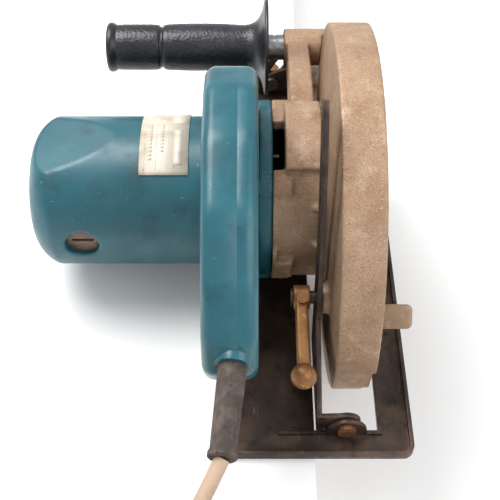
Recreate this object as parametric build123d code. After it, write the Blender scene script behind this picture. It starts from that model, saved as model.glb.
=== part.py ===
from build123d import *
from math import atan2, cos, degrees, hypot, pi, radians, sin, sqrt, tan
import os

# A hand-held circular saw for 235 mm blades, set near its full depth of cut.
# X runs along the motor from its closed end towards the blade, Y points forward, Z up.
# The origin is on the underside of the base plate, and the arbor is above it at Y = 0.
# All sizes are in millimetres.

# ---- Fits ----
RUN = 0.05  # radial clearance of a shaft or pin that turns in its bore
GAP = 0.4  # free space between pieces that move past each other

# ---- Blade and arbor ----
blade_r = 117.5
blade_x = 62.8
blade_t = 2.4
blade_bore_r = 12.7
teeth_count = 24
depth_of_cut = 84.0
arbor_y = 0.0
arbor_z = blade_r - depth_of_cut  # the arbor's height over the sole
arbor_r = 10.0
flange_r = 21.0
inner_flange_t = 3.0
outer_flange_t = 4.0
bolt_r = 4.0
bolt_head_flats = 13.0
bolt_head_t = 6.0

# ---- Gears and motor axis ----
gear_module = 1.2
pinion_teeth = 9
gear_teeth = 43
gear_x = 31.0
gear_w = 10.0
gear_tip_share = 0.69  # addendum of the large gear, in modules, which keeps clear of the pinion's root
tooth_backlash = 0.16
centre_distance = gear_module * (pinion_teeth + gear_teeth) / 2
motor_dir = 105.8  # direction from the arbor to the motor's axis, in degrees from +Y towards +Z
motor_y = arbor_y + centre_distance * cos(radians(motor_dir))
motor_z = arbor_z + centre_distance * sin(radians(motor_dir))

# ---- Motor housing ----
motor_r = 48.5
motor_wall = 3.0
motor_end_x = -138.5
motor_dome = 14.0
motor_end_r = 33.0
facet_x = -85.0  # where the flat on top of the barrel starts
facet_drop = 9.5  # how far the flat falls by the closed end
motor_flange_x = 5.3
motor_flange_t = 8.7
motor_flange_r = 55.5
lobe_ring_r = 51.5
lobe_r = 7.5
lobe_angles = (48.0, 132.0, 228.0, 312.0)
housing_screw_r = 2.4
slot_count = 9
slot_w = 3.2
plate_x = (-68.0, -38.0)
plate_angles = (57.0, 140.0)  # the rating plate's reach round the barrel, from the rear over the top
plate_t = 0.5

# ---- Armature, stator and brushes ----
shaft_r = 5.0
shaft_x0 = -128.0
core_r = 21.5
core_x = (-84.0, -32.0)
core_slots = 12
winding_t = 5.0
commutator_r = 13.0
commutator_x = (-115.0, -99.0)
fan_r = 43.0
fan_x = (6.0, 18.0)
fan_blades = 12
rear_bearing = (11.0, 7.0)  # outer radius, width
drive_bearing = (16.0, 9.0)
arbor_bearing = (11.0, 7.0)
arbor_tail_r = 4.0
box_bearing = (21.0, 12.0)
stator_r = motor_r - motor_wall
stator_bore_r = 22.5
coil_t = 5.0
coil_r_out = 35.4
brush_x = -105.5
brush_w = 7.0
brush_t = 11.0
brush_cap_r = 10.4
brush_cap_t = 5.0
brush_seat = 9.0  # how far a cap's face sits under the barrel's surface
brush_seat_y = sqrt(motor_r**2 - brush_cap_r**2) - brush_seat
holder_r = 7.5
holder_start = commutator_r + 2.5
brush_len = 17.0

# ---- Gear housing ----
house_x = (14.0, 44.2)
house_r = 56.0
house_wall = 4.0
fan_room_r = 49.0
bulkhead_x = (22.0, 30.0)
gear_room_gap = 0.7
gear_room_wall = 2.2
block_x0 = 21.5
block_r = 60.0
block_angles = (62.0, 122.0)
vent_angles = (84.0, 121.0)
vent_x = (14.0, 21.5)
gusset_angles = (145.0, 170.0, 195.0)
gusset_t = 3.5
grip_y = 108.0
grip_z = 90.0
grip_boss_r = 13.0
grip_boss_x0 = 24.0
web_x = (26.0, 41.0)

# ---- Blade case and lower guard ----
case_wall = 3.0
case_rim_gap = 6.5  # blade tips to the inside of the case's rim
case_r = blade_r + case_rim_gap + case_wall
case_x = (51.7, 77.5)
case_plate_t = 3.4
case_cone_r = 62.0  # the case's flat centre; outside it the wall slopes out to the rim
case_angles = (-11.0, 194.0)
lip_angles = (8.0, 160.0)
lip_w = 15.0
lip_r = case_r - lip_w
case_screw_angles = (35.0, 90.0, 145.0)
box_screw_angles = (60.0, 180.0, 300.0)
case_trim_x = 75.2
case_trim_z = 24.0
box_r = 24.6
box_flange_r = 32.0
box_flange_t = 2.8
box_x1 = 59.2
guard_case_gap = 2.5
guard_r = case_r - case_wall - guard_case_gap
guard_wall = 2.2
guard_x = (55.8, 73.7)
guard_angles = (172.0, 352.0)
guard_lip_w = 24.5
guard_lip_r = guard_r - guard_lip_w
guard_hub_r = 30.0
guard_hub_x0 = 52.6
ring_t = 1.2
tab_angle = 169.5
tab_inset = 16.0
tab_r = guard_r - tab_inset
tab_x1 = 98.0
tab_w = 15.0
tab_t = 3.0

# ---- Base plate, with its bevel and depth gear ----
base_t = 2.5
base_x = (-20.0, 99.0)
base_corner_r = 7.0
lip_h = 6.0
lip_t = 2.4
slot_x = (39.4, 78.0)
slot_rear_gap = 32.5  # the guard's rim to the rear end of the blade slot
slot_front_gap = 8.5
slot_y = (arbor_y - guard_r - slot_rear_gap, arbor_y + guard_r + slot_front_gap)
slot_lip_h = 4.4
bevel_x = 58.5
bevel_z = 9.5
bevel_travel = 45.0
bevel_pin_r = 3.0
ear_w = 25.0
ear_t = 2.5
ear_top = 8.5  # height of the rear ear over its pivot
pivot_inset = 16.0  # the slot's front end to the depth pivot
pivot_y = slot_y[1] + pivot_inset
pivot_z = 22.0
pivot_pin_r = 4.0
depth_travel = 27.0
guide_x = (40.2, 43.2)
stud_y = -90.0
stud_z = 54.0
stud_r = 4.0
stud_reach = hypot(stud_y - pivot_y, stud_z - pivot_z)
stud_start = degrees(atan2(stud_z - pivot_z, pivot_y - stud_y))
guide_foot_t = guide_x[1] - guide_x[0]
guide_half_w = 11.0
guide_end_deg = 3.6  # solid metal past each end of the guide's slot
lug_x = (44.2, 50.2)
lug_r = 9.0
front_y = (pivot_y + 10.0, pivot_y + 13.0)
quadrant_y = (front_y[1] + 0.3, front_y[1] + 3.3)
base_rear_edge = 17.0  # the slot's rear end to the plate's edge
base_front_edge = 16.0  # the front bracket to the plate's edge
base_y = (slot_y[0] - base_rear_edge, front_y[1] + base_front_edge)
lock_radius = 42.0
lock_angle = 170.0
lock_bolt_r = 3.0

# ---- Levers ----
lever_hub_r = 7.5
lever_x = (26.5, 36.5)
lever_len = 52.0
lever_drop_deg = 10.0  # the depth lever points back and this far down
ball_r = 7.8
bevel_lever_len = 38.0
set_screw_turn = 38.0  # the set screw's lean back from upright

# ---- Side grip ----
grip_x = (-102.0, 13.0)
grip_r = 16.0
grip_end_r = 17.5
grip_groove_x = -63.0
grip_disc_r = 34.0
spacer_r = 9.0
grip_stud_r = 5.0

# ---- D-handle ----
handle_x = (-26.0, 4.6)
handle_split_x = -6.7
handle_wall = 3.0
handle_round = 7.0
handle_outline = (
    (22, 96), (22, 120), (9, 152), (-12, 170), (-38, 178), (-76, 176), (-115, 160), (-146, 135),
    (-164, 110), (-168, 88), (-160, 70), (-138, 62), (-96, 46), (-52, 26), (-20, 40),
)
handle_corner_r = (4, 14, 20, 20, 25, 40, 40, 40, 18, 12, 14, 30, 20, 4, 4)
opening_outline = ((-34, 143), (-92, 143), (-131, 108), (-120, 86), (-72, 70), (-30, 86))
opening_corner_r = (12, 26, 12, 12, 8, 4)
opening_front_r = 59.0  # the finger gap ends this far from the motor's axis
screw_places = ((-4, 140), (-55, 163), (-132, 132), (-146, 84), (-86, 56))
boss_r = 5.0
handle_screw_r = 1.9
trigger_pivot = (-52.0, 152.0)
trigger_x = (-14.0, -1.0)
trigger_pin_r = 2.0
trigger_pin_x = (-22.4, 3.0)
button_y = -70.0
button_z = 162.0
button_r = 4.5
button_travel = 2.5

# ---- Cord ----
cord_r = 4.25
cord_start = (-9.0, -166.0, 96.0)
guard_end = (-14.0, -217.0, 88.0)
cord_guard_r = (7.8, 6.6)
collar_r = 10.5
cord_route = (
    guard_end, (-25, -239, 80), (-43, -268, 64), (-62, -298, 40), (-80, -325, 17),
    (-100, -342, 6), (-121, -349, 4.25),
)
coil_centre = (-112.0, -291.0)
coil_r = 47.0
coil_section = (27.0, 26.5)  # the bundle's width and height
tie_angle = 20.0
plug_angle = 90.0  # where on the coil the tail leaves for the plug
tail_len = 56.0
sleeve_len = 22.0
plug_len = 38.0
plug_r = 17.0
pin_spacing = 19.0
pin_r = 2.4
pin_len = 19.0


def disc(y, z, r, x0, x1):
    """A solid cylinder along X."""
    return extrude(Plane.YZ.offset(x0) * Pos(y, z) * Circle(r), amount=x1 - x0)


def ring(y, z, r_out, r_in, x0, x1):
    return disc(y, z, r_out, x0, x1) - disc(y, z, r_in, x0, x1)


def slab(points, x0, x1, radii=None):
    """A plate across X with the given outline in Y and Z, its corners rounded where radii are given."""
    if radii is None:
        face = Polygon(*points, align=None)
    else:
        face = make_face(FilletPolyline(*points, radius=radii, close=True))
    return extrude(Plane.YZ.offset(x0) * face, amount=x1 - x0, dir=(1, 0, 0))


def xz_plate(face, y0, y1):
    """A plate across Y whose face is drawn in X and Z."""
    return extrude(Plane.XZ.offset(-y0) * face, amount=y1 - y0, dir=(0, 1, 0))


def sector_face(r_in, r_out, start, end):
    """A ring's sector, its angles in degrees from the first axis towards the second."""
    outer = CenterArc((0, 0), r_out, start, end - start)
    inner = CenterArc((0, 0), r_in, start, end - start)
    sides = [Line(outer @ 0, inner @ 0), Line(outer @ 1, inner @ 1)]
    return make_face([outer, inner, *sides])


def sector(y, z, r_in, r_out, start, end, x0, x1):
    face = sector_face(r_in, r_out, start, end)
    return extrude(Plane.YZ.offset(x0) * Pos(y, z) * face, amount=x1 - x0)


def block(x0, x1, y0, y1, z0, z1):
    return Pos((x0 + x1) / 2, (y0 + y1) / 2, (z0 + z1) / 2) * Box(x1 - x0, y1 - y0, z1 - z0)


def rod_y(x, z, r, y0, y1):
    """A solid cylinder along Y."""
    return Pos(x, (y0 + y1) / 2, z) * Rot(90, 0, 0) * Cylinder(r, y1 - y0)


def polar(y, z, r, angle):
    return y + r * cos(radians(angle)), z + r * sin(radians(angle))


def lathe(points, y, z):
    """A body of revolution about an axis along X, from points that are (X, radius)."""
    face = Plane((0, y, z), x_dir=(1, 0, 0), z_dir=(0, 0, 1)) * Polygon(*points, align=None)
    return revolve(face, axis=Axis((0, y, z), (1, 0, 0)))


def hex_head(y, z, flats, x0, x1):
    face = RegularPolygon(flats / 2, 6, major_radius=False)
    return extrude(Plane.YZ.offset(x0) * Pos(y, z) * face, amount=x1 - x0)


# ---- Gears ----


def tooth_face(teeth, tip_r, centre_angle):
    """A spur gear's face with involute flanks at 20 degrees, one tooth's middle at the given angle."""
    pitch_r = gear_module * teeth / 2
    base_r = pitch_r * cos(radians(20))
    root_r = pitch_r - 1.25 * gear_module
    half_pitch = pi / (2 * teeth) - tooth_backlash / (2 * pitch_r)
    roll_pitch = tan(radians(20)) - radians(20)

    def half_angle(r):
        if r <= base_r:
            return half_pitch + roll_pitch
        pressure = sqrt((r / base_r) ** 2 - 1)
        return half_pitch + roll_pitch - (pressure - atan2(pressure, 1))

    start_r = max(base_r, root_r)
    radii = [root_r] + [start_r + (tip_r - start_r) * step / 5 for step in range(6)]
    if start_r == root_r:
        radii = radii[1:]
    points = []
    for tooth in range(teeth):
        middle = radians(centre_angle) + 2 * pi * tooth / teeth
        flank = [(r, half_angle(r)) for r in radii]
        points += [(r * cos(middle - a), r * sin(middle - a)) for r, a in flank]
        points += [(r * cos(middle + a), r * sin(middle + a)) for r, a in reversed(flank)]
    return Polygon(*points, align=None)


def drive_gear():
    tip_r = gear_module * (gear_teeth / 2 + gear_tip_share)
    face = tooth_face(gear_teeth, tip_r, motor_dir + 180 / gear_teeth)
    gear = extrude(Plane.YZ.offset(gear_x) * Pos(arbor_y, arbor_z) * face, amount=gear_w)
    gear -= disc(arbor_y, arbor_z, arbor_r, gear_x, gear_x + gear_w)
    recess = ring(arbor_y, arbor_z, 20.5, 14.5, gear_x + gear_w - 2, gear_x + gear_w)
    return gear - recess


def pinion():
    tip_r = gear_module * (pinion_teeth / 2 + 1)
    face = tooth_face(pinion_teeth, tip_r, motor_dir + 180)
    teeth = extrude(Plane.YZ.offset(gear_x) * Pos(motor_y, motor_z) * face, amount=gear_w + 1)
    return teeth - disc(motor_y, motor_z, 2.6, gear_x, gear_x + gear_w + 1)


# ---- Armature ----


def armature_shaft():
    shaft = disc(motor_y, motor_z, shaft_r, shaft_x0, gear_x)
    return shaft + disc(motor_y, motor_z, 2.6, gear_x, gear_x + gear_w + 1)


def armature_core():
    core = ring(motor_y, motor_z, core_r, shaft_r, *core_x)
    for slot in range(core_slots):
        y, z = polar(motor_y, motor_z, core_r - 3.5, 360 / core_slots * slot)
        mouth_y, mouth_z = polar(motor_y, motor_z, core_r, 360 / core_slots * slot)
        core -= disc(y, z, 2.4, *core_x)
        core -= disc(mouth_y, mouth_z, 1.2, *core_x)
    return core


def armature_windings():
    """The copper end turns on both sides of the core."""
    profile_r = (shaft_r + 2, 19.0)
    rear = lathe(winding_profile(core_x[0] - winding_t, core_x[0], profile_r, True), motor_y, motor_z)
    front = lathe(winding_profile(core_x[1], core_x[1] + winding_t, profile_r, False), motor_y, motor_z)
    return [rear, front]


def winding_profile(x0, x1, radii, rises):
    low, high = radii
    if rises:
        return [(x0, low), (x0, high - 4), (x0 + 3, high), (x1, high), (x1, low)]
    return [(x0, low), (x0, high), (x1 - 3, high), (x1, high - 4), (x1, low)]


def commutator():
    bars = ring(motor_y, motor_z, commutator_r, shaft_r, *commutator_x)
    riser = ring(motor_y, motor_z, commutator_r + 2, shaft_r, commutator_x[1] - 2.5, commutator_x[1])
    bars += riser
    for bar in range(18):
        y, z = polar(motor_y, motor_z, commutator_r + 2, 20 * bar)
        bars -= disc(y, z, 2.4, commutator_x[1] - 2.5, commutator_x[1])
    return bars


def cooling_fan():
    hub = ring(motor_y, motor_z, 12, shaft_r, fan_x[0], fan_x[1] - 1)
    back = ring(motor_y, motor_z, fan_r, 11, fan_x[0], fan_x[0] + 2)
    fan = hub + back
    for vane in range(fan_blades):
        angle = 360 / fan_blades * vane
        inner = polar(motor_y, motor_z, 18, angle)
        outer = polar(motor_y, motor_z, fan_r - 0.5, angle + 14)
        side = polar(0, 0, 1.0, angle + 97)
        points = [
            (inner[0] - side[0], inner[1] - side[1]), (outer[0] - side[0], outer[1] - side[1]),
            (outer[0] + side[0], outer[1] + side[1]), (inner[0] + side[0], inner[1] + side[1]),
        ]
        fan += slab(points, fan_x[0] + 1, fan_x[1])
    return fan


def bearing(y, z, r_out, r_in, x0, width):
    """A shielded ball bearing as one ring, with the shields' step on both faces."""
    body = ring(y, z, r_out, r_in, x0, x0 + width)
    step_out, step_in = r_out - 0.18 * (r_out - r_in), r_in + 0.22 * (r_out - r_in)
    body -= ring(y, z, step_out, step_in, x0, x0 + 0.6)
    return body - ring(y, z, step_out, step_in, x0 + width - 0.6, x0 + width)


# ---- Stator and brush gear ----


def stator_core():
    core = ring(motor_y, motor_z, stator_r, stator_bore_r, *core_x)
    for side in (0, 180):
        core -= sector(motor_y, motor_z, stator_bore_r, 36, side - 24, side + 24, *core_x)
    return core


def field_coils():
    """Two saddle coils: ends past the core, joined by legs that lie in the core's side gaps."""
    coils = []
    for start in (4, 184):
        end = start + 172
        saddle = sector(motor_y, motor_z, 25, coil_r_out, start, end, core_x[0] - coil_t, core_x[0])
        saddle += sector(motor_y, motor_z, 25, coil_r_out, start, end, core_x[1], core_x[1] + coil_t)
        saddle += sector(motor_y, motor_z, 25, coil_r_out, start, start + 16, *core_x)
        saddle += sector(motor_y, motor_z, 25, coil_r_out, end - 16, end, *core_x)
        coils.append(saddle)
    return coils


def air_baffle():
    """The ring that leads the cooling air from the stator into the fan."""
    points = [(-8, stator_r), (-8, 36), (2, 30), (2, 32.5), (-5.5, 38.5), (-5.5, stator_r)]
    return lathe(points, motor_y, motor_z)


def both_sides(make):
    """The same piece on the front and the rear of the motor."""
    return [make(1), make(-1)]


def brush_tube(side, r, near, far):
    y0, y1 = sorted((motor_y + side * near, motor_y + side * far))
    return rod_y(brush_x, motor_z, r, y0, y1)


def brush_holder(side):
    holder = brush_tube(side, holder_r, holder_start, brush_seat_y)
    y0, y1 = sorted((motor_y + side * (holder_start - 1), motor_y + side * (brush_seat_y + 1)))
    half_w, half_t = brush_w / 2 + 0.1, brush_t / 2 + 0.1
    return holder - block(brush_x - half_w, brush_x + half_w, y0, y1, motor_z - half_t, motor_z + half_t)


def carbon_brush(side):
    y0, y1 = sorted((motor_y + side * (commutator_r - 1), motor_y + side * (commutator_r + brush_len)))
    half_w, half_t = brush_w / 2, brush_t / 2
    brush = block(brush_x - half_w, brush_x + half_w, y0, y1, motor_z - half_t, motor_z + half_t)
    return brush - disc(motor_y, motor_z, commutator_r + RUN, *commutator_x)


def brush_spring(side):
    start = motor_y + side * (commutator_r + brush_len)
    length = brush_seat_y - commutator_r - brush_len
    wire = 0.45
    turns = 6
    helix = Helix(pitch=(length - 2 * wire) / turns, height=length - 2 * wire, radius=2.6)
    profile = Plane(helix @ 0, z_dir=helix % 0) * Circle(wire)
    spring = sweep(profile, path=helix)
    return Pos(brush_x, start + side * wire, motor_z) * Rot(-90 * side, 0, 0) * spring


def brush_cap(side):
    cap = brush_tube(side, brush_cap_r, brush_seat_y, brush_seat_y + brush_cap_t)
    y0, y1 = sorted((motor_y + side * (brush_seat_y + brush_cap_t - 2), motor_y + side * (brush_seat_y + 9)))
    return cap - block(brush_x - 7, brush_x + 7, y0, y1, motor_z - 1.1, motor_z + 1.1)


# ---- Motor housing ----


def barrel(grow):
    """The housing's outer shape, or the hollow inside it when grow is negative."""
    x0 = motor_end_x - grow
    x1 = motor_end_x + motor_dome
    r, end = motor_r + grow, motor_end_r + grow
    bulge = ((x0 + 0.28 * motor_dome), (r + 2 * end) / 3 + 2.5)
    face = make_face([
        Polyline((motor_flange_x, r), (motor_flange_x, 0), (x0, 0), (x0, end)),
        ThreePointArc((x0, end), bulge, (x1, r)),
        Line((x1, r), (motor_flange_x, r)),
    ])
    placed = Plane((0, motor_y, motor_z), x_dir=(1, 0, 0), z_dir=(0, 0, 1)) * face
    body = revolve(placed, axis=Axis((0, motor_y, motor_z), (1, 0, 0)))
    top = motor_z + motor_r + grow
    slope = facet_drop / (facet_x - motor_end_x)
    far_drop = slope * (facet_x - motor_end_x + 20)
    wedge = Plane.XZ * Polygon(
        (facet_x, top), (motor_end_x - 20, top - far_drop), (motor_end_x - 20, top + 20), (facet_x, top + 20),
        align=None,
    )
    return body - extrude(wedge, amount=90, both=True)


def motor_flange():
    flange = disc(motor_y, motor_z, motor_flange_r, motor_flange_x, motor_flange_x + motor_flange_t)
    for angle in lobe_angles:
        y, z = polar(motor_y, motor_z, lobe_ring_r, angle)
        flange += disc(y, z, lobe_r, motor_flange_x, motor_flange_x + motor_flange_t)
    return flange


def motor_housing():
    """The moulded barrel with its closed end, air slots, brush pockets and screw flange."""
    body = barrel(0) + motor_flange()
    room = barrel(-motor_wall)
    room_end = motor_flange_x + motor_flange_t
    body -= room + disc(motor_y, motor_z, fan_r + 2, motor_flange_x - 1, room_end)
    seat = ring(motor_y, motor_z, motor_r - motor_wall, rear_bearing[0], motor_end_x + 2, shaft_x0 + rear_bearing[1])
    seat &= disc(motor_y, motor_z, 15, motor_end_x, shaft_x0 + rear_bearing[1])
    body += seat + disc(motor_y, motor_z, 15, motor_end_x + 2, shaft_x0 - 1)
    body += both_pockets()
    for side in (1, -1):
        body -= brush_tube(side, brush_cap_r + 0.1, brush_seat_y, motor_r + 5)
        body -= brush_tube(side, holder_r, holder_start, brush_seat_y)
    for step in range(slot_count):
        offset = (step - (slot_count - 1) / 2) * 2.1 * slot_w
        reach = sqrt(30**2 - offset**2)
        y0 = motor_y + offset
        for low, high in ((motor_z - reach, motor_z - 15.5), (motor_z + 15.5, motor_z + reach)):
            if high - low > slot_w:
                body -= block(motor_end_x - 2, motor_end_x + 8, y0 - slot_w / 2, y0 + slot_w / 2, low, high)
    for angle in lobe_angles:
        y, z = polar(motor_y, motor_z, lobe_ring_r, angle)
        body -= disc(y, z, housing_screw_r, motor_flange_x - 1, room_end)
        body -= disc(y, z, 4.3, motor_flange_x - 1, motor_flange_x + 2.8)
    return body


def both_pockets():
    """Sleeves inside the barrel that carry the brush holders and caps."""
    sleeves = []
    for side in (1, -1):
        sleeve = brush_tube(side, brush_cap_r + 2, brush_seat_y - 2, sqrt(motor_r**2 - 13**2) - 1)
        sleeves.append(sleeve)
    return sleeves[0] + sleeves[1]


def rating_plate():
    start, end = 180 - plate_angles[1], 180 - plate_angles[0]
    return sector(motor_y, motor_z, motor_r, motor_r + plate_t, start, end, *plate_x)


# ---- Gear housing ----


def guide_room():
    """The room that the depth guide needs in the saw's own frame, over the whole depth travel."""
    low = 180 - stud_start - depth_travel - guide_end_deg
    high = 180 - stud_start + depth_travel + guide_end_deg
    reach = guide_half_w + GAP
    wide = (guide_x[0] - GAP, guide_x[1] + GAP)
    return sector(pivot_y, pivot_z, stud_reach - reach, stud_reach + reach, low, high, *wide)


def gear_housing():
    """The cast housing: fan room, bulkhead with the bearings, gear room, web and boss of the side grip."""
    body = disc(motor_y, motor_z, house_r, *house_x)
    gear_room_r = gear_module * (gear_teeth / 2 + gear_tip_share) + gear_room_gap
    body += disc(arbor_y, arbor_z, gear_room_r + gear_room_wall, *house_x)
    body += sector(motor_y, motor_z, 40, block_r, *block_angles, block_x0, house_x[1])
    for angle in lobe_angles:
        y, z = polar(motor_y, motor_z, lobe_ring_r, angle)
        body += disc(y, z, lobe_r, house_x[0], house_x[0] + 12)
    web = (
        (motor_y, motor_z + house_r - 4), (52, 113), (grip_y - 6, grip_z + 10), (grip_y + 8, grip_z - 8),
        (grip_y - 12, grip_z - 12), (44, 84), (30, 92),
    )
    body += slab(web, *web_x)
    body += disc(grip_y, grip_z, grip_boss_r, grip_boss_x0, 54)
    for angle in gusset_angles:
        body += gusset(angle)
    body += sector(motor_y, motor_z, 50, 61, 182, 200, 17, 27) + sector(motor_y, motor_z, 50, 61, 174, 200, 14, 17)
    body -= disc(motor_y, motor_z, fan_room_r, house_x[0], bulkhead_x[0])
    body -= disc(motor_y, motor_z, house_r - house_wall, bulkhead_x[1], house_x[1])
    body -= disc(arbor_y, arbor_z, gear_room_r, bulkhead_x[1], house_x[1])
    body += housing_floor(gear_room_r)
    for y, z in case_screw_places():
        body += disc(y, z, 5.5, bulkhead_x[0], house_x[1])
        body -= disc(y, z, 2.4, house_x[1] - 10, house_x[1])
    body -= sector(motor_y, motor_z, fan_room_r - 3, house_r + 8, *vent_angles, *vent_x)
    body -= disc(motor_y, motor_z, drive_bearing[0], bulkhead_x[1] - drive_bearing[1], bulkhead_x[1] + 1)
    body -= disc(arbor_y, arbor_z, arbor_bearing[0], bulkhead_x[1] - arbor_bearing[1], bulkhead_x[1] + 1)
    body -= disc(grip_y, grip_z, grip_stud_r, grip_boss_x0, 46)
    for angle in lobe_angles:
        y, z = polar(motor_y, motor_z, lobe_ring_r, angle)
        body -= disc(y, z, housing_screw_r - 0.4, house_x[0], house_x[0] + 10)
    return body - case_shell_outer() - guide_room()


def gusset(angle):
    """A triangular rib between the barrel of the gear housing and the blade case."""
    rib = Plane.XY * Polygon((35, house_r - 2), (house_x[1], house_r - 2), (house_x[1], house_r + 8), align=None)
    rib = extrude(rib, amount=gusset_t / 2, both=True)
    return Pos(0, motor_y, motor_z) * Rot(angle, 0, 0) * rib


def housing_floor(gear_room_r):
    """The bulkhead stays whole between the gear room and the fan room."""
    floor = disc(motor_y, motor_z, fan_room_r + 1, *bulkhead_x)
    return floor + disc(arbor_y, arbor_z, gear_room_r + 1, *bulkhead_x)


# ---- Blade case ----


def case_shell_outer():
    """The room the blade case takes up, solid."""
    x0, x1 = house_x[1], case_x[1]
    body = turned_case([(x0, 20), (x0, case_cone_r), (case_x[0], case_r), (x1, case_r), (x1, 20)], *case_angles)
    body += disc(motor_y, motor_z, house_r, house_x[1], house_x[1] + case_plate_t)
    return body + disc(arbor_y, arbor_z, box_flange_r + 1, house_x[1], house_x[1] + case_plate_t)


def turned_case(points, start, end):
    """A section turned about the arbor from one angle to another."""
    plane = Plane((0, arbor_y, arbor_z), x_dir=(1, 0, 0), z_dir=(0, 0, 1))
    axis = Axis((0, arbor_y, arbor_z), (1, 0, 0))
    body = revolve(plane * Polygon(*points, align=None), axis=axis, revolution_arc=end - start)
    return body.rotate(axis, start)


def blade_case():
    """The cast upper guard: coned left wall, rim, outer lip, and the lug of the depth pivot."""
    x1 = case_x[1]
    shell = turned_case(
        [(house_x[1], 20), (house_x[1], case_cone_r), (case_x[0], case_r), (x1, case_r),
         (x1, case_r - case_wall), (case_x[0] + case_wall - 0.4, case_r - case_wall),
         (house_x[1] + case_plate_t, case_cone_r - 1), (house_x[1] + case_plate_t, 20)], *case_angles)
    lip = turned_case([(x1 - case_wall, lip_r), (x1 - case_wall, case_r - 1), (x1, case_r - 1), (x1, lip_r)],
                      *lip_angles)
    lug = slab(((74, 84), (118, 66), (pivot_y + 4, pivot_z + 8.0), (pivot_y, pivot_z - lug_r), (100, 12), (52, 50)),
               *lug_x)
    lug += disc(pivot_y, pivot_z, lug_r, *lug_x)
    stud_pad = disc(stud_y, stud_z, 10, guide_x[1] + GAP, 50)
    body = shell + lip + lug + stud_pad
    body += disc(motor_y, motor_z, house_r, house_x[1], house_x[1] + case_plate_t)
    body += disc(arbor_y, arbor_z, box_flange_r + 1, house_x[1], house_x[1] + case_plate_t)
    body -= disc(arbor_y, arbor_z, box_r, 40, 60)
    body -= disc(pivot_y, pivot_z, pivot_pin_r + RUN, 40, 60)
    body -= disc(stud_y, stud_z, stud_r - 0.2, 40, 56)
    body -= block(case_trim_x, 90, -140, 140, -40, case_trim_z)
    for y, z in case_screw_places():
        body -= disc(y, z, 2.4, house_x[1] - 1, house_x[1] + case_plate_t)
        body -= disc(y, z, 4.8, house_x[1] + case_plate_t, 58)
    for y, z in box_screw_places():
        body -= disc(y, z, 1.9, house_x[1] - 1, house_x[1] + case_plate_t)
    return body


def case_screw_places():
    return [polar(motor_y, motor_z, house_r - 10, angle) for angle in case_screw_angles]


def box_screw_places():
    return [polar(arbor_y, arbor_z, 28.5, angle) for angle in box_screw_angles]


def screw_x(y, z, r, head_r, head_x, head_t, tip_x):
    """A screw along X, its head starting at head_x and its shank running to tip_x."""
    head_far = head_x + head_t
    shank = disc(y, z, r, min(head_x, tip_x), max(head_x, tip_x))
    head = disc(y, z, head_r, min(head_x, head_far), max(head_x, head_far))
    screw = shank + head
    outer = head_far
    inner = head_far - 0.4 * head_t
    x0, x1 = sorted((outer, inner))
    return screw - block(x0, x1, y - head_r, y + head_r, z - 0.6, z + 0.6)


def bearing_box():
    """The sleeve that holds the arbor's outer bearing; the lower guard turns on its outside."""
    flange_x0 = house_x[1] + case_plate_t
    body = disc(arbor_y, arbor_z, box_r, house_x[1], box_x1)
    body += disc(arbor_y, arbor_z, box_flange_r, flange_x0, flange_x0 + box_flange_t)
    body -= disc(arbor_y, arbor_z, box_bearing[0], 46, box_x1)
    body -= disc(arbor_y, arbor_z, box_bearing[0] - 4, house_x[1], 46)
    body -= ring(arbor_y, arbor_z, box_r, box_r - 1.0, guard_x[0] + 2.2, guard_x[0] + 2.2 + ring_t)
    for y, z in box_screw_places():
        body -= disc(y, z, 1.9, flange_x0, flange_x0 + box_flange_t)
    return body


def snap_ring():
    x0 = guard_x[0] + 2.2
    ring_body = ring(arbor_y, arbor_z, box_r + 2.4, box_r - 1.0, x0, x0 + ring_t)
    return ring_body - sector(arbor_y, arbor_z, box_r - 3, box_r + 5, 260, 280, x0, x0 + ring_t)


# ---- Arbor and blade ----


def arbor_shaft():
    tail_x = bulkhead_x[1] - arbor_bearing[1]
    shaft = disc(arbor_y, arbor_z, arbor_tail_r, tail_x, bulkhead_x[1])
    shaft += disc(arbor_y, arbor_z, arbor_r, bulkhead_x[1], blade_x + blade_t - 0.4)
    shaft -= disc(arbor_y, arbor_z, bolt_r, blade_x - 16, blade_x + blade_t)
    return shaft


def inner_flange():
    x1 = blade_x
    body = ring(arbor_y, arbor_z, flange_r, arbor_r, x1 - inner_flange_t, x1)
    body += ring(arbor_y, arbor_z, blade_bore_r - RUN, arbor_r, x1, x1 + blade_t - 0.4)
    return body - ring(arbor_y, arbor_z, flange_r - 5, blade_bore_r + 1, x1 - 0.6, x1)


def outer_flange():
    x0 = blade_x + blade_t
    body = disc(arbor_y, arbor_z, flange_r, x0, x0 + outer_flange_t)
    body -= ring(arbor_y, arbor_z, flange_r - 5, blade_bore_r - 3, x0, x0 + 0.6)
    body = chamfer(body.edges().filter_by(GeomType.CIRCLE).sort_by(Axis.X)[-1], 1.2)
    return body - disc(arbor_y, arbor_z, bolt_r, x0, x0 + outer_flange_t)


def blade_bolt():
    """The hex bolt that clamps the blade, with a washer face under its head."""
    x0 = blade_x + blade_t + outer_flange_t
    body = disc(arbor_y, arbor_z, bolt_r, blade_x - 14, x0) + disc(arbor_y, arbor_z, 9.5, x0, x0 + 1.6)
    return body + hex_head(arbor_y, arbor_z, bolt_head_flats, x0 + 1.6, x0 + 1.6 + bolt_head_t)


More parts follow.
